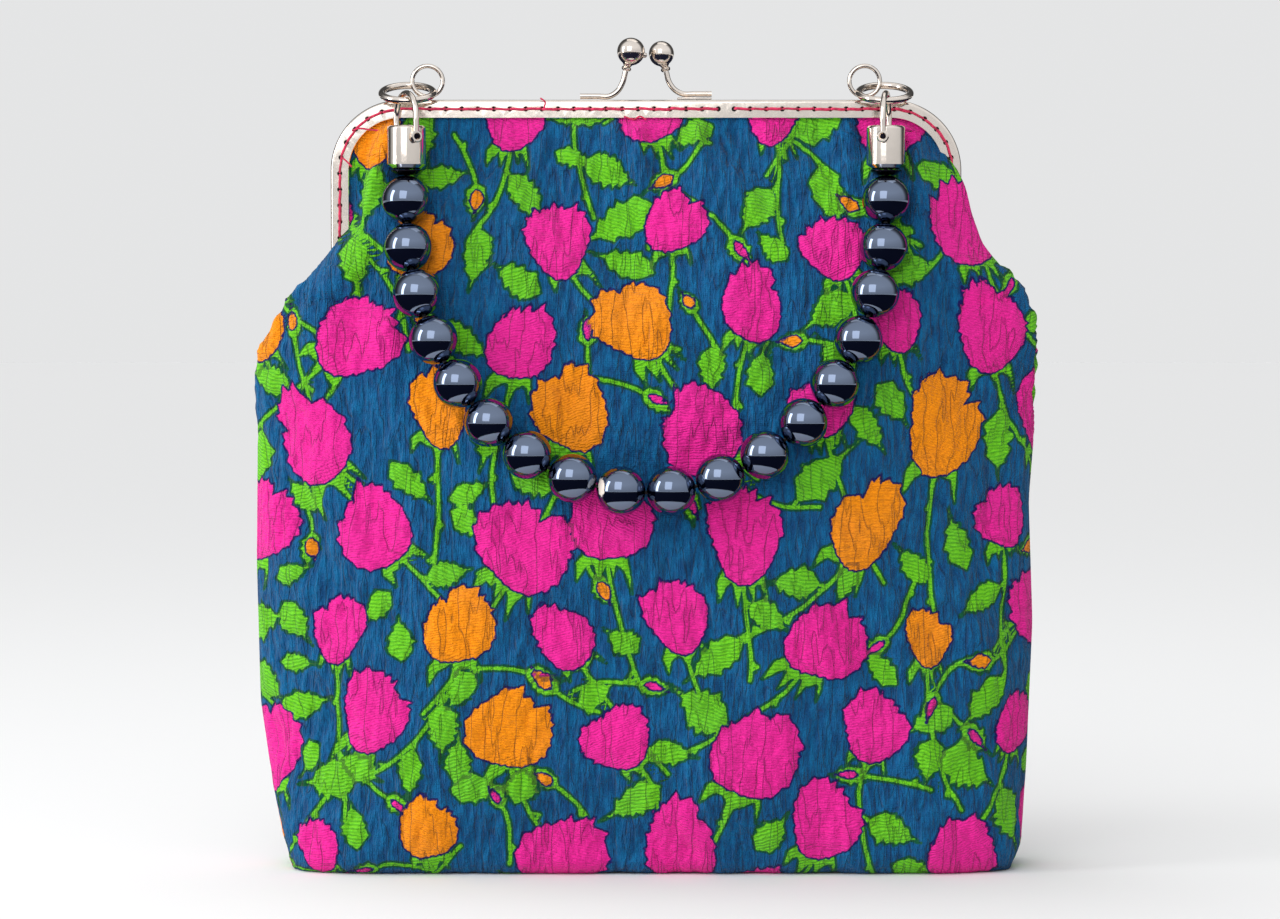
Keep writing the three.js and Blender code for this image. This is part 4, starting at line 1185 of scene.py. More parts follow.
def on_half(part, side):
    """A part made for the front half, mirrored to the rear one where side is 1."""
    points, faces = part
    return points * (1, -side, 1), faces


def ready_object(name, part):
    """A mesh for a node tree to repeat; it is taken away again afterwards."""
    return finished(mesh_piece(name, *part))


def node_tree(name, *inputs):
    """An empty geometry tree with named inputs, each as name and kind."""
    tree = bpy.data.node_groups.new(name, "GeometryNodeTree")
    sockets = {}
    for title, kind in (("Geometry", "NodeSocketGeometry"), *inputs):
        sockets[title] = tree.interface.new_socket(title, in_out="INPUT", socket_type=kind)
    tree.interface.new_socket("Geometry", in_out="OUTPUT", socket_type="NodeSocketGeometry")
    start, end = tree.nodes.new("NodeGroupInput"), tree.nodes.new("NodeGroupOutput")
    return tree, sockets, start.outputs, end.inputs[0]


def chained(tree, kind, links=(), **options):
    """A node with its inputs joined or set."""
    node = tree.nodes.new(kind)
    for key, value in options.items():
        setattr(node, key, value)
    for key, value in dict(links).items():
        if isinstance(value, bpy.types.NodeSocket):
            tree.links.new(value, node.inputs[key])
        else:
            node.inputs[key].default_value = value
    return node


def paint_last(tree, node, given, result):
    """Ends a tree with the material that it is given."""
    links = {"Geometry": node.outputs[0], "Material": given["Material"]}
    tree.links.new(chained(tree, "GeometryNodeSetMaterial", links).outputs[0], result)


def repeated_along(name):
    """A tree that sets a copy of a shape on every point, turned and sized by the point's attributes."""
    tree, sockets, given, result = node_tree(
        name, ("Shape", "NodeSocketObject"), ("Size", "NodeSocketFloat"), ("Material", "NodeSocketMaterial")
    )
    shape = chained(tree, "GeometryNodeObjectInfo", {"Object": given["Shape"]})
    facing = chained(tree, "GeometryNodeInputNamedAttribute", {"Name": "facing"}, data_type="FLOAT_VECTOR")
    size = chained(tree, "GeometryNodeInputNamedAttribute", {"Name": "size"}, data_type="FLOAT_VECTOR")
    scaled = chained(
        tree, "ShaderNodeVectorMath", {0: size.outputs[0], "Scale": given["Size"]}, operation="SCALE"
    )
    copies = chained(tree, "GeometryNodeInstanceOnPoints", {
        "Points": given["Geometry"], "Instance": shape.outputs["Geometry"],
        "Rotation": facing.outputs[0], "Scale": scaled.outputs[0],
    })
    real = chained(tree, "GeometryNodeRealizeInstances", {"Geometry": copies.outputs[0]})
    paint_last(tree, real, given, result)
    return tree, sockets


def perforated(name):
    """A tree that cuts a round hole through a sheet at every point of a row."""
    tree, sockets, given, result = node_tree(
        name, ("Row", "NodeSocketObject"), ("Radius", "NodeSocketFloat"), ("Depth", "NodeSocketFloat"),
        ("Material", "NodeSocketMaterial"),
    )
    row = chained(tree, "GeometryNodeObjectInfo", {"Object": given["Row"]})
    drill = chained(tree, "GeometryNodeMeshCylinder", {
        "Vertices": 14, "Radius": given["Radius"], "Depth": given["Depth"],
    })
    drills = chained(tree, "GeometryNodeInstanceOnPoints", {
        "Points": row.outputs["Geometry"], "Instance": drill.outputs["Mesh"], "Rotation": (math.pi / 2, 0, 0),
    })
    real = chained(tree, "GeometryNodeRealizeInstances", {"Geometry": drills.outputs[0]})
    cut = chained(tree, "GeometryNodeMeshBoolean", operation="DIFFERENCE", solver="MANIFOLD")
    tree.links.new(given["Geometry"], cut.inputs["Mesh 1"])
    tree.links.new(real.outputs[0], cut.inputs["Mesh 2"])
    paint_last(tree, cut, given, result)
    return tree, sockets


def grown(piece, tree, sockets, **inputs):
    """The piece with a tree's result as its plain mesh."""
    modifier = piece.modifiers.new("growth", "NODES")
    modifier.node_group = tree
    for name, value in inputs.items():
        modifier[sockets[name].identifier] = value
    evaluated = piece.evaluated_get(bpy.context.evaluated_depsgraph_get())
    mesh = bpy.data.meshes.new_from_object(evaluated)
    piece.modifiers.clear()
    piece.data = mesh
    return piece


def point_row(name, points, facings, sizes):
    """Points for a shape's copies, each with the way it faces and its size."""
    piece = mesh_piece(name, points, [])
    add_attribute(piece.data, "facing", facings)
    add_attribute(piece.data, "size", sizes)
    return piece


def discard(*objects):
    for item in objects:
        bpy.data.objects.remove(item, do_unlink=True)


class FrameSettings(bpy.types.PropertyGroup):
    """Metal frame and its stitching"""

    thread: FloatProperty(
        name="Thread", description="Thickness of the sewing thread", unit="LENGTH", default=0.9 * MM
    )
    seed: IntProperty(name="Stitch seed", description="Unevenness of the stitches", default=4)
    nickel: FloatVectorProperty(
        name="Nickel", description="Colour of the plated metal",
        subtype="COLOR", default=colour(238, 226, 214),
    )
    stitch: FloatVectorProperty(
        name="Thread colour", description="Colour of the sewing thread",
        subtype="COLOR", default=colour(226, 40, 92),
    )
    # Painted shade of the thread in the grooves of its twist.
    stitch_shade: FloatVectorProperty(
        name="Thread shade", description="Thread in its twist", subtype="COLOR", default=colour(178, 20, 66)
    )


# Stitches that are missing: half and number, counted from the left leg
MISSED_STITCHES = {("front", 31), ("rear", 20)}


def stitch_row(half, side, thread, rng):
    """Middle, heading and length of each stitch from hole to hole round the frame."""
    right = stitch_places()
    holes = [(-x, z) for x, z, _ in reversed(right)] + [(x, z) for x, z, _ in right]
    points, facings, sizes = [], [], []
    for i, (start, end) in enumerate(zip(holes, holes[1:])):
        if (half, i) in MISSED_STITCHES:
            continue
        start, end = (np.array(hole) + rng.uniform(-0.16, 0.16, 2) for hole in (start, end))
        centre, run = (start + end) / 2, end - start
        depth = side * (FRAME_FACE + thread * 0.28)
        points.append((centre[0], depth, centre[1]))
        heading = math.atan2(run[1], run[0])
        facings.append((0.0 if side < 0 else math.pi, -heading if side < 0 else heading, 0.0))
        sizes.append((math.hypot(*run) / HOLE_PITCH, 1.0, rng.uniform(0.8, 1.15)))
    return points, facings, sizes


def stitch_shape(thread):
    """One stitch along X that lies on the metal and dips into a hole at each end, towards +Y."""
    half = HOLE_PITCH / 2 - 0.42
    across = [-half, -half, -half + 0.25, -half * 0.5, 0, half * 0.5, half - 0.25, half, half]
    deep = [1.5, 0.7, 0.12, 0, -0.06, 0, 0.12, 0.7, 1.5]
    sway = [0, 0, 0.03, 0.07, 0.02, -0.06, -0.04, 0, 0]
    return tube(rounded(np.stack([across, deep, sway], axis=1), 21), thread / 2, 10)


class HANDBAG_OT_frame(bpy.types.Operator):
    """Makes the two perforated frame halves with their hinges and the thread that sews the cloth in"""

    bl_idname = "handbag.frame"
    bl_label = "Frame and stitching"

    def execute(self, context):
        look = settings("handbag_frame")
        nickel = polished("nickel", look.nickel, 0.11)
        thread = spun("sewing_thread", look.stitch, look.stitch_shade)
        # The cord's near-black colour is painted shade, seen through the holes.
        dark = spun("hole_shade_cord", colour(14, 12, 22), colour(6, 5, 12))
        holes = [(sign * x, 0.0, z) for x, z, _ in stitch_places() for sign in (-1, 1)]
        rng = np.random.default_rng(look.seed)
        for half, side in (("front", -1), ("rear", 1)):
            outside = FRAME_HALF_WIDTH if side < 0 else FRAME_HALF_WIDTH - SHEET - CLEARANCE
            rail = finished(mesh_piece(f"{half}_rail", *on_half(channel(), side)))
            row = mesh_piece("row", [(x, side * (FRAME_FACE - SHEET / 2), z) for x, _, z in holes], [])
            tree, sockets = perforated("perforations")
            sizes = {"Radius": HOLE_RADIUS * MM, "Depth": 3 * SHEET * MM}
            grown(rail, tree, sockets, Row=row, Material=nickel, **sizes)
            discard(row)
            rail.data.shade_smooth()
            rail.data.set_sharp_from_angle(angle=math.radians(32))
            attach(rail, f"{half}_half")
            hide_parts(f"{half}_frame")

            cord = on_half(hole_shade_cord(), side)
            rigid_piece(f"{half}_channel_cord", f"{half}_half", dark, cord, slot="lining")

            tabs = [on_half(hinge_tab(sign, outside), side) for sign in (-1, 1)]
            if side > 0:
                width = FRAME_HALF_WIDTH - outside + SHEET
                for sign in (-1, 1):
                    place = (sign * (FRAME_HALF_WIDTH - width / 2), FRAME_FACE / 2, LEG_END + RAIL_WIDTH / 4)
                    tabs.append(placed(block((width, FRAME_FACE - CLOSING_GAP, RAIL_WIDTH / 2)), place))
            rigid_piece(f"{half}_hinge_tabs", f"{half}_half", nickel, *tabs, node=f"{half}_frame")

            stitches = point_row(f"{half}_stitching", *stitch_row(half, side, look.thread, rng))
            shape = ready_object("stitch", stitch_shape(look.thread))
            tree, sockets = repeated_along("stitches")
            grown(stitches, tree, sockets, Shape=shape, Size=1.0, Material=thread)
            discard(shape)
            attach(stitches, f"{half}_half")
        for sign, name in ((-1, "left"), (1, "right")):
            low, high = box(f"{name}_hinge_rivet")
            inner = min(abs(low.x), abs(high.x))
            outer = max(abs(low.x), abs(high.x))
            head, shank, rise = (high.z - low.z) / 2, 1.4, 0.8
            turns = np.linspace(0.02, 1.45, 8)
            dome = [(head * math.sin(a), outer - rise * (1 - math.cos(a))) for a in turns]
            profile = [(0.01, inner), (head * 0.8, inner), (head, inner + 0.3), (head, inner + rise)]
            profile += [(shank, inner + rise), (shank, outer - rise), (head, outer - rise), *dome[::-1]]
            part = placed(turned(profile), (0, 0, HINGE_Z), (sign, 0, 0))
            rigid_piece(f"{name}_rivet", "bag", nickel, part, node=f"{name}_hinge_rivet")
        loose_ends(thread, look.thread)
        return {"FINISHED"}


# Loose thread on the front of the frame and below its rail: across and up
LOOSE_ENDS = (
    ((-95.5, 240.0), (-92.9, 240.7), (-89.9, 240.3), (-86.7, 240.0)),
    ((-99.1, 231.5), (-97.4, 230.2), (-95.5, 228.2)),
    ((-34.3, 250.5), (-32.7, 249.2), (-33.0, 247.5), (-31.7, 246.6)),
    ((-7.2, 244.6), (-3.9, 243.6), (-2.0, 244.6), (0.0, 243.6)),
)


def loose_ends(material, thread):
    """Short tails of sewing thread that lie on the frame."""
    depth = -FRAME_FACE - thread * 0.45
    lines = [rounded([(x, depth, z) for x, z in line], 14) for line in LOOSE_ENDS]
    tails = [tube(line, thread * 0.3, 8) for line in lines]
    rigid_piece("thread_tails", "front_half", material, *tails, slot="jacquard")


# Clasp and hardware

CLASP_WIRE = 1.8
CLASP_FOOT_END = 21.4  # across: where the foot ends, where the wire bends up and where the collar is
CLASP_BEND = 10.2
CLASP_NECK = 6.6
CLASP_RISE = 9.4
CLASP_LEAN = 0.27
CLASP_SEAT = 1.0
CLASP_Y = CLOSING_GAP + 2.1
COLLAR_RADIUS = 1.65

RING_RADIUS = 8.35
RING_WIRE = 1.15
RING_TILT = math.radians(20)
LOOP_RADIUS = 4.95
LOOP_WIRE = 0.72
BAIL_WIRE = 1.05
PIN_RADIUS = 0.9
EYE_RADIUS = 2.0
CAP_RADIUS = 6.25
BAIL_TURNS = {"left": math.radians(28), "right": math.radians(-11)}


def clasp_arm(side, seat):
    """A wire arm from its foot on the rail, or on a seat, up to the collar."""
    foot = FRAME_TOP + seat + CLEARANCE + CLASP_WIRE / 2
    top = FRAME_TOP + CLASP_RISE
    rise = top - foot
    across = (
        (CLASP_FOOT_END, foot), ((CLASP_FOOT_END + CLASP_BEND) / 2, foot), (CLASP_BEND + CLASP_WIRE, foot),
        (CLASP_BEND - CLASP_WIRE / 2, foot + rise * 0.2),
        (CLASP_NECK + CLASP_LEAN * rise * 0.45, foot + rise * 0.55), (CLASP_NECK, top),
    )
    return tube(rounded([(side * x, side * CLASP_Y, z) for x, z in across], 44), CLASP_WIRE / 2, 20)


def clasp_ball(radius, nub):
    """A ball on its collar, with a small nub at one side if the clasp has one."""
    collar, top = COLLAR_RADIUS, 2.2
    rise = top + math.sqrt(radius**2 - collar**2)
    profile = [(0.01, 0), (1.1, 0), (1.45, 0.25), (collar, 0.7), (1.45, 1.15), (1.1, 1.4), (1.3, 1.7)]
    profile.append((collar, top))
    low = math.pi - math.asin(collar / radius)
    profile += [(radius * math.sin(a), rise + radius * math.cos(a)) for a in np.linspace(low, 0.002, 30)[1:]]
    parts = [turned(profile, 48)]
    if nub:
        bump = [(0.01, 0.9), (0.5, 0.8), (0.8, 0.45), (0.9, 0), (0.9, -0.6), (0.01, -0.6)]
        parts.append(placed(turned(bump, 24), (radius, 0, rise), (1, 0, 0.1)))
    return joined(*parts)


def kiss_lock(half, side, nickel):
    """One half's arm and ball: the front one stands at the left, the rear one at the right on a seat."""
    body, rear = f"{half}_half", half == "rear"
    arm = clasp_arm(side, CLASP_SEAT if rear else 0.0)
    rigid_piece(f"{half}_lock_arm", body, nickel, arm, node=f"{half}_clasp_arm")
    low, high = box(f"{half}_clasp_ball")
    direction = np.array([-side * CLASP_LEAN, 0, 1])
    foot = np.array([side * CLASP_NECK, side * CLASP_Y, FRAME_TOP + CLASP_RISE])
    foot = foot + direction / np.linalg.norm(direction) * CLEARANCE * 0.4
    ball = placed(clasp_ball((high.y - low.y) / 2, nub=not rear), foot, direction)
    rigid_piece(f"{half}_lock_ball", body, nickel, ball, node=f"{half}_clasp_ball")
    if rear:
        low, high = box("rear_clasp_seat")
        seat = placed(block(high - low, 0.15), (low + high) / 2)
        rigid_piece("rear_lock_seat", body, nickel, seat, node="rear_clasp_seat")


def loop_and_ring(name, nickel):
    """An upright loop on its foot, and the large ring that swings in it."""
    centre = middle(f"{name}_loop")
    loop = placed(torus(LOOP_RADIUS, LOOP_WIRE, 56), centre, (0, 1, 0))
    saddle = placed(block((2.0, 1.6, 0.7)), (centre.x, centre.y, FRAME_TOP + 0.3))
    rigid_piece(f"{name}_fixed_loop", "front_half", nickel, loop, saddle, node=f"{name}_loop")
    square = (0, -math.sin(RING_TILT), math.cos(RING_TILT))
    ring = placed(torus(RING_RADIUS, RING_WIRE, 72), middle(f"{name}_ring"), square)
    rigid_piece(f"{name}_split_ring", f"{name}_ring", nickel, ring, node=f"{name}_ring")


def bail_parts(name):
    """A U of wire over the ring, with an eye at each foot."""
    turn = BAIL_TURNS[name]
    across = np.array([math.sin(turn), -math.cos(turn), 0.0])
    pin = np.array(middle(f"{name}_bail_pin"))
    crown = box(f"{name}_bail")[1].z - BAIL_WIRE
    radius = CAP_RADIUS + CLEARANCE + BAIL_WIRE
    arc_z = crown - radius

    def point(reach, z):
        return np.array([pin[0], pin[1], z]) + across * reach

    line = [point(-radius, pin[2] + EYE_RADIUS * 0.8), point(-radius, (pin[2] + arc_z) / 2)]
    line += [point(radius * math.cos(a), arc_z + radius * math.sin(a)) for a in np.linspace(math.pi, 0, 13)]
    line += [point(radius, (pin[2] + arc_z) / 2), point(radius, pin[2] + EYE_RADIUS * 0.8)]
    parts = [tube(rounded(line, 60), BAIL_WIRE * 0.92, 18)]
    half = BAIL_WIRE * 0.8
    hole = PIN_RADIUS + 0.25
    eye = [(hole, -half), (EYE_RADIUS - 0.3, -half), (EYE_RADIUS, -half + 0.3), (EYE_RADIUS, half - 0.3)]
    eye += [(EYE_RADIUS - 0.3, half), (hole, half)]
    for reach in (-radius, radius):
        parts.append(placed(turned(eye, 32, closed=True), pin + across * reach, across))
    return parts, pin, across, radius


def barrel(low, high):
    """The profile of an end cap, from its hollow lower end up to its domed top."""
    bore, bevel, dome, hollow = 1.5, 1.5, 1.1, 6.0
    profile = [(bore, low + hollow), (bore, low), (CAP_RADIUS - 1.7, low), (CAP_RADIUS, low + bevel)]
    profile.append((CAP_RADIUS, high - dome))
    for turn in np.linspace(0.25, math.pi / 2, 7):
        radius = CAP_RADIUS * (1 - 0.2 * (1 - math.cos(turn)))
        profile.append((radius, high - dome + dome * math.sin(turn)))
    return [*profile, (0.01, high), (0.01, low + hollow)]


def handle_end(name, nickel, dark):
    """One end of the handle: the bail, its pin, the end cap and the small dark cap over the first bead."""
    parts, pin, across, radius = bail_parts(name)
    rigid_piece(f"{name}_wire_bail", "handle", nickel, *parts, node=f"{name}_bail")
    reach = radius + BAIL_WIRE * 0.8 - 0.3
    rod = [(0.01, -reach), (PIN_RADIUS - 0.2, -reach), (PIN_RADIUS, 0.2 - reach)]
    rod += [(r, -z) for r, z in rod[::-1]]
    rigid_piece(f"{name}_pin", "handle", dark, placed(turned(rod), pin, across), node=f"{name}_bail_pin")
    place = (pin[0], pin[1], 0)
    low, high = box(f"{name}_end_cap")
    cap = placed(turned(barrel(low.z, high.z), 48), place)
    rigid_piece(f"{name}_barrel", "handle", nickel, cap, node=f"{name}_end_cap")
    low, high = box(f"{name}_bead_cap")
    edge = (high.x - low.x) / 2
    cup = [(1.5, low.z), (edge * 0.62, low.z), (edge * 0.8, low.z + 0.5), (edge, high.z - 0.35)]
    cup += [(edge, high.z), (1.5, high.z)]
    collar = placed(turned(cup, 40, closed=True), place)
    rigid_piece(f"{name}_collar", "handle", dark, collar, slot="dark_metal", node=f"{name}_bead_cap")


class HardwareSettings(bpy.types.PropertyGroup):
    """Clasp, loops, rings and end caps"""

    plating: FloatProperty(name="Roughness", description="Roughness of the polished plating", default=0.09)


class HANDBAG_OT_hardware(bpy.types.Operator):
    """Makes the kiss lock, the loops and rings, and the handle's bails, pins and end caps"""

    bl_idname = "handbag.hardware"
    bl_label = "Clasp and handle hardware"

    def execute(self, context):
        look = settings("handbag_hardware")
        nickel = polished("polished_nickel", settings("handbag_frame").nickel, look.plating)
        dark = polished("dark_metal", colour(26, 24, 32), 0.2)
        for half, side in (("front", -1), ("rear", 1)):
            kiss_lock(half, side, nickel)
        for name in ("left", "right"):
            loop_and_ring(name, nickel)
            handle_end(name, nickel, dark)
        return {"FINISHED"}


# Handle


class HandleSettings(bpy.types.PropertyGroup):
    """Beaded handle"""

    bore: FloatProperty(
        name="Bore", description="Diameter of the hole through a bead", unit="LENGTH", default=3.0 * MM
    )
    mirror: FloatVectorProperty(
        name="Bead", description="Colour of the mirror beads",
        subtype="COLOR", default=colour(112, 124, 146),
    )


CHIP_PLACE = (-14.1, 125.9)  # across and up, where the plating of one bead is chipped
CHIP_SIZE = 1.6


def mirror_bead(look):
    """Mirror plating over a dark bead, with one chipped spot down to the pale core."""
    paint = Paint("mirror_bead", base_color=look.mirror, metallic=1.0, coat_weight=0.35, coat_roughness=0.03)
    place = paint.place
    smears = paint.step(paint.noise(place, 90.0, 3.0), 0.45, 0.75)
    parts = paint.add("SeparateXYZ", {0: place}).outputs
    across = paint.sum("SUBTRACT", parts[0], CHIP_PLACE[0] * MM)
    up = paint.sum("MULTIPLY", paint.sum("SUBTRACT", parts[2], CHIP_PLACE[1] * MM), 0.36)
    squares = [paint.sum("MULTIPLY", part, part) for part in (across, up)]
    away = paint.sum("SQRT", paint.sum("ADD", *squares))
    away = paint.sum("MULTIPLY_ADD", paint.noise(place, 900.0, 3.0), 0.9 * MM, away)
    chip = paint.step(away, CHIP_SIZE * MM * 0.8, CHIP_SIZE * MM * 1.02, 1.0, 0.0)
    paint.set("Base Color", paint.mix(chip, look.mirror, colour(238, 226, 214)))
    paint.set("Metallic", paint.sum("SUBTRACT", 1.0, chip))
    rough = paint.sum("MULTIPLY_ADD", smears, 0.05, 0.035)
    paint.set("Roughness", paint.sum("MULTIPLY_ADD", chip, 0.55, rough))
    paint.set("Normal", paint.bump(paint.sum("MULTIPLY", chip, -1.0), 0.0002))
    return paint.material


class HANDBAG_OT_handle(bpy.types.Operator):
    """Makes the strand of mirror beads and the cord that holds it"""

    bl_idname = "handbag.handle"
    bl_label = "Beaded handle"

    def execute(self, context):
        look = settings("handbag_handle")
        centres = [np.array(middle(name)) for name in BEADS]
        mouths = []
        for name in ("left", "right"):
            low, _ = box(f"{name}_bead_cap")
            pin = middle(f"{name}_bail_pin")
            mouths.append(np.array([pin.x, pin.y, low.z]))
        route = [mouths[0], *centres, mouths[1]]
        start = math.asin(look.bore / 2 / BEAD_RADIUS)
        turns = np.linspace(start, math.pi - start, 28)
        profile = [(BEAD_RADIUS * math.sin(a), BEAD_RADIUS * math.cos(a)) for a in turns]
        shape = ready_object("bead", turned(profile, 40, closed=True))
        facings = []
        for before, after in zip(route, route[2:]):
            facings.append(tuple(Vector(after - before).to_track_quat("Z", "Y").to_euler()))
        strand = point_row("bead_strand", centres, facings, [(1, 1, 1)] * len(centres))
        tree, sockets = repeated_along("strand")
        grown(strand, tree, sockets, Shape=shape, Size=1.0, Material=mirror_bead(look))
        discard(shape)
        strand.data.shade_smooth()
        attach(strand, "handle")
        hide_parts(*BEADS)

        rise = Vector((0, 0, 3.5))
        line = [mouths[0] + rise, *route, mouths[1] + rise]
        paint = spun("bead_cord", colour(44, 42, 48), colour(18, 17, 22))
        cord = tube(rounded(line, 220), 0.6, 10)
        rigid_piece("stringing_cord", "handle", paint, cord, slot="bead_cord", node="handle_cord")
        return {"FINISHED"}


# Stage

PHOTO_WIDTH, PHOTO_HEIGHT = 1280, 919
MIDDLE_PIXEL = (646, 866)  # where the middle of the base lies in the photograph
PIXEL = 0.327 * MM  # size of one pixel of the photograph at the closing plane
CAMERA_DISTANCE = 1.25
CAMERA_RISE = 2.5  # degrees above the level view

FLOOR_REACH = 9000.0
FLAG_RING = (150.0, 2300.0)  # inner and outer radius of the dark ring on the floor that metal mirrors
FLAG_HEIGHT = 2.0

LAMP_TARGET = (0, 0, 0.13)
# Place, size and share of the key light's power
LAMPS = {
    "key": ((-0.3, -1.15, 0.72), (0.75, 0.85), 1.0),
    "side": ((-1.15, -0.42, 0.55), (0.3, 0.9), 1.5),
    "top": ((0.1, 0.35, 1.2), (0.9, 0.5), 0.4),
}


class StageSettings(bpy.types.PropertyGroup):
    """Floor, backdrop and light"""

    floor: FloatVectorProperty(
        name="Floor", description="Colour of the floor and backdrop",
        subtype="COLOR", default=(0.86, 0.865, 0.87),
    )
    key_power: FloatProperty(
        name="Key light", description="Power of the main light", unit="POWER", default=3.0
    )
    fill: FloatProperty(name="Fill", description="Strength of the light from all round", default=0.8)


def area_light(name, place, size, power):
    """A rectangular lamp that faces the bag."""
    lamp = bpy.data.lights.new(name, "AREA")
    lamp.shape, lamp.size, lamp.size_y, lamp.energy = "RECTANGLE", size[0], size[1], power
    light = bpy.data.objects.new(name, lamp)
    light.location = place
    light.rotation_euler = (Vector(LAMP_TARGET) - Vector(place)).to_track_quat("-Z", "Y").to_euler()
    bpy.context.scene.collection.objects.link(light)


# What polished metal mirrors, by the direction from the front (0) round to the back (1)
MIRRORED = ((0.0, 0.86), (0.5, 0.74), (0.62, 0.2), (0.7, 0.07), (0.93, 0.05), (0.965, 0.5), (1.0, 0.6))

SOFT_LIGHT_FROM = (-0.79, -0.27, 0.55)
SOFT_LIGHT_START = -0.25  # how far round from that side the light still grows
SOFT_LIGHT = (0.14, 2.1)  # on the far side and on the near side, as shares of the fill


def light_on_floor(low, high):
    """Mean strength of the soft light over the sky, weighted as a level floor receives it."""
    rng = np.random.default_rng(1)
    turn, out = rng.uniform(0, math.tau, 20000), np.sqrt(rng.uniform(0, 1, 20000))
    above = np.stack([out * np.cos(turn), out * np.sin(turn), np.sqrt(1 - out**2)], axis=1)
    towards = (above @ np.array(SOFT_LIGHT_FROM) - SOFT_LIGHT_START) / (1 - SOFT_LIGHT_START)
    return float(np.mean(low + (high - low) * np.clip(towards, 0, 1)))


def studio_world(look):
    """Light from the upper left; the camera sees the floor's own tone, and metal sees darker walls."""
    world = bpy.data.worlds.new("studio")
    world.use_nodes = True
    sky = Nodes(world.node_tree)
    place = sky.add("TexCoord").outputs["Generated"]
    axes = sky.add("SeparateXYZ", {0: place}).outputs
    low, high = (look.fill * share for share in SOFT_LIGHT)
    towards = sky.add("VectorMath", {0: place, 1: SOFT_LIGHT_FROM}, operation="DOT_PRODUCT")
    lit = sky.tree.nodes["Background"]
    sky.join(lit.inputs["Color"], (1, 1, 1))
    sky.join(lit.inputs["Strength"], sky.spread(towards.outputs["Value"], SOFT_LIGHT_START, 1.0, low, high))
    seen = sky.add("Background", {"Color": look.floor, "Strength": light_on_floor(low, high)})

    walls = sky.add("ValToRGB", {0: sky.spread(axes["Y"], -1.0, 1.0)})
    ramp = walls.color_ramp.elements
    for at, _ in MIRRORED[1:-1]:
        ramp.new(at)
    for element, (at, tone) in zip(ramp, MIRRORED):
        element.position, element.color = at, (tone * 0.97, tone, tone * 1.04, 1)
    brighter_up = sky.spread(axes["Z"], -0.25, 0.5, 0.62, 1.15)
    mirrored = sky.add("Background", {"Color": walls.outputs[0], "Strength": brighter_up})

    ray = sky.add("LightPath").outputs
    inner = sky.add("MixShader", {0: ray["Is Glossy Ray"], 1: lit.outputs[0], 2: mirrored.outputs[0]})
    outer = sky.add("MixShader", {0: ray["Is Camera Ray"], 1: inner.outputs[0], 2: seen.outputs[0]})
    sky.join(sky.tree.nodes["World Output"].inputs["Surface"], outer.outputs[0])
    return world


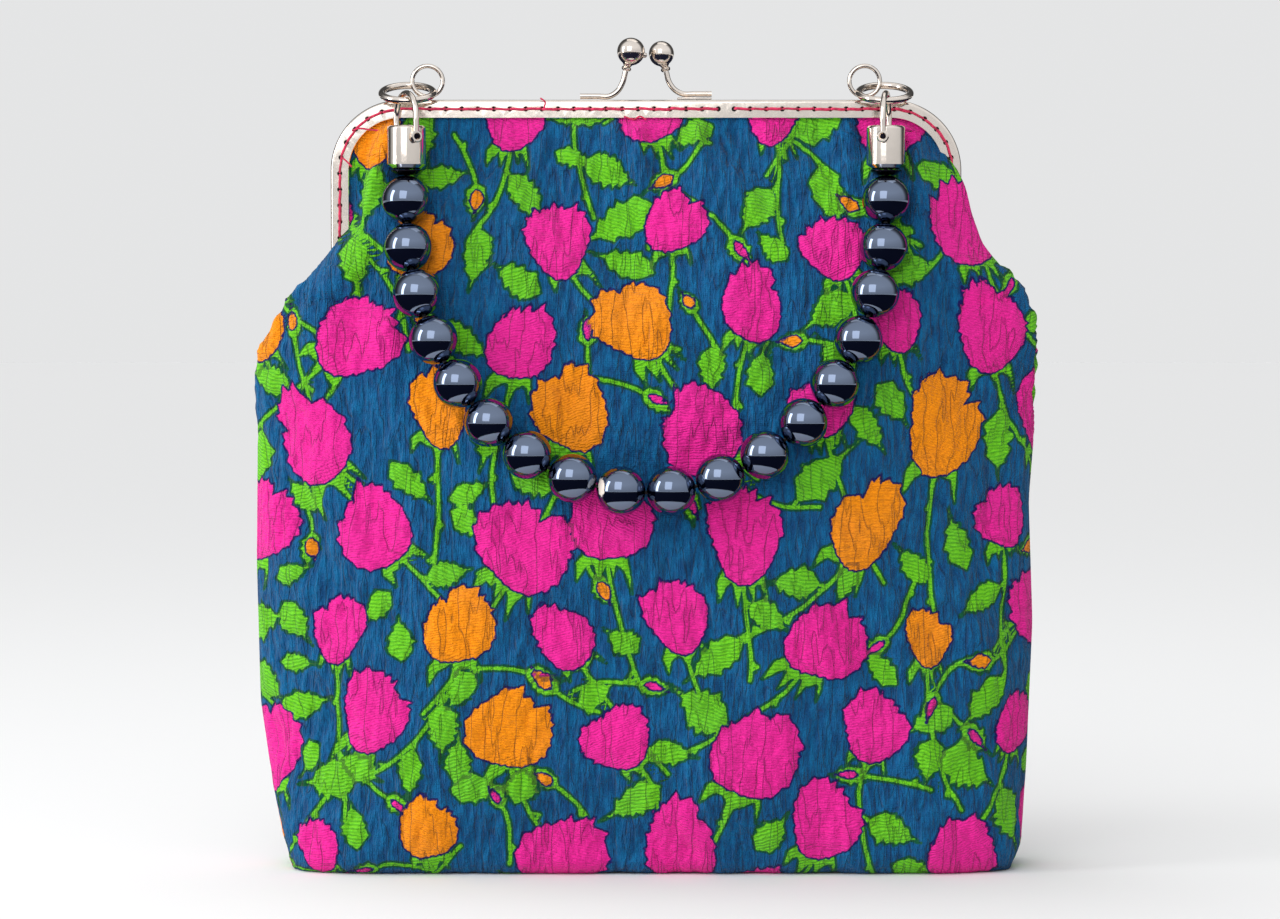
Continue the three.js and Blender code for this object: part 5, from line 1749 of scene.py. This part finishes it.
class HANDBAG_OT_stage(bpy.types.Operator):
    """Makes the floor, the soft studio light and the camera"""

    bl_idname = "handbag.stage"
    bl_label = "Stage"

    def execute(self, context):
        look = settings("handbag_stage")
        floor_paint = Paint("floor", base_color=look.floor, roughness=0.95, specular_ior_level=0.0)
        corners = [(x * FLOOR_REACH, y * FLOOR_REACH, 0) for x, y in ((-1, -1), (1, -1), (1, 1), (-1, 1))]
        mesh_piece("floor", corners, [(0, 1, 2, 3)], floor_paint.material)
        flag_paint = Paint("flag", base_color=(0.012, 0.014, 0.03), roughness=1.0, specular_ior_level=0.0)
        turn = np.linspace(0, math.tau, 48, endpoint=False)
        circle = np.stack([np.cos(turn), np.sin(turn), np.zeros(48)], axis=1)
        vertices, faces = skin([circle * radius + (0, 0, FLAG_HEIGHT) for radius in FLAG_RING])
        flag = mesh_piece("flag", vertices, faces[:-2], flag_paint.material)
        flag.visible_camera = flag.visible_diffuse = False
        flag.visible_shadow = flag.visible_transmission = False

        context.scene.world = studio_world(look)
        for name, (place, size, share) in LAMPS.items():
            area_light(name, place, size, look.key_power * share)

        view = bpy.data.cameras.new("camera")
        camera = bpy.data.objects.new("camera", view)
        context.scene.collection.objects.link(camera)
        aim_x, aim_z = PHOTO_WIDTH / 2 - MIDDLE_PIXEL[0], MIDDLE_PIXEL[1] - PHOTO_HEIGHT / 2
        aim = Vector((aim_x * PIXEL, 0, aim_z * PIXEL))
        rise = math.radians(CAMERA_RISE)
        back = Vector((0, -math.cos(rise), math.sin(rise)))
        camera.location = aim + back * CAMERA_DISTANCE
        camera.rotation_euler = (-back).to_track_quat("-Z", "Y").to_euler()
        view.lens = view.sensor_width * CAMERA_DISTANCE / (PHOTO_WIDTH * PIXEL)
        context.scene.camera = camera
        context.scene.view_settings.view_transform = "Standard"
        return {"FINISHED"}


GROUPS = {
    "handbag_cloth": ClothSettings,
    "handbag_frame": FrameSettings,
    "handbag_hardware": HardwareSettings,
    "handbag_handle": HandleSettings,
    "handbag_stage": StageSettings,
}
OPERATORS = (
    HANDBAG_OT_cloth, HANDBAG_OT_lining, HANDBAG_OT_frame, HANDBAG_OT_hardware, HANDBAG_OT_handle,
    HANDBAG_OT_stage,
)


class HANDBAG_PT_panel(bpy.types.Panel):
    """Lists the handbag's pieces"""

    bl_label = "Handbag"
    bl_idname = "HANDBAG_PT_panel"
    bl_space_type = "VIEW_3D"
    bl_region_type = "UI"
    bl_category = "Handbag"

    def draw(self, context):
        for kind in OPERATORS:
            self.layout.operator(kind.bl_idname)


def register():
    for kind in (*GROUPS.values(), *OPERATORS, HANDBAG_PT_panel):
        bpy.utils.register_class(kind)
    for name, kind in GROUPS.items():
        setattr(bpy.types.Scene, name, PointerProperty(type=kind))


def unregister():
    for name in GROUPS:
        delattr(bpy.types.Scene, name)
    for kind in (HANDBAG_PT_panel, *reversed(OPERATORS), *reversed(GROUPS.values())):
        bpy.utils.unregister_class(kind)


def main():
    register()
    bpy.ops.handbag.stage()
    bpy.ops.handbag.cloth()
    bpy.ops.handbag.lining()
    bpy.ops.handbag.frame()
    bpy.ops.handbag.hardware()
    bpy.ops.handbag.handle()


if __name__ == "__main__":
    main()
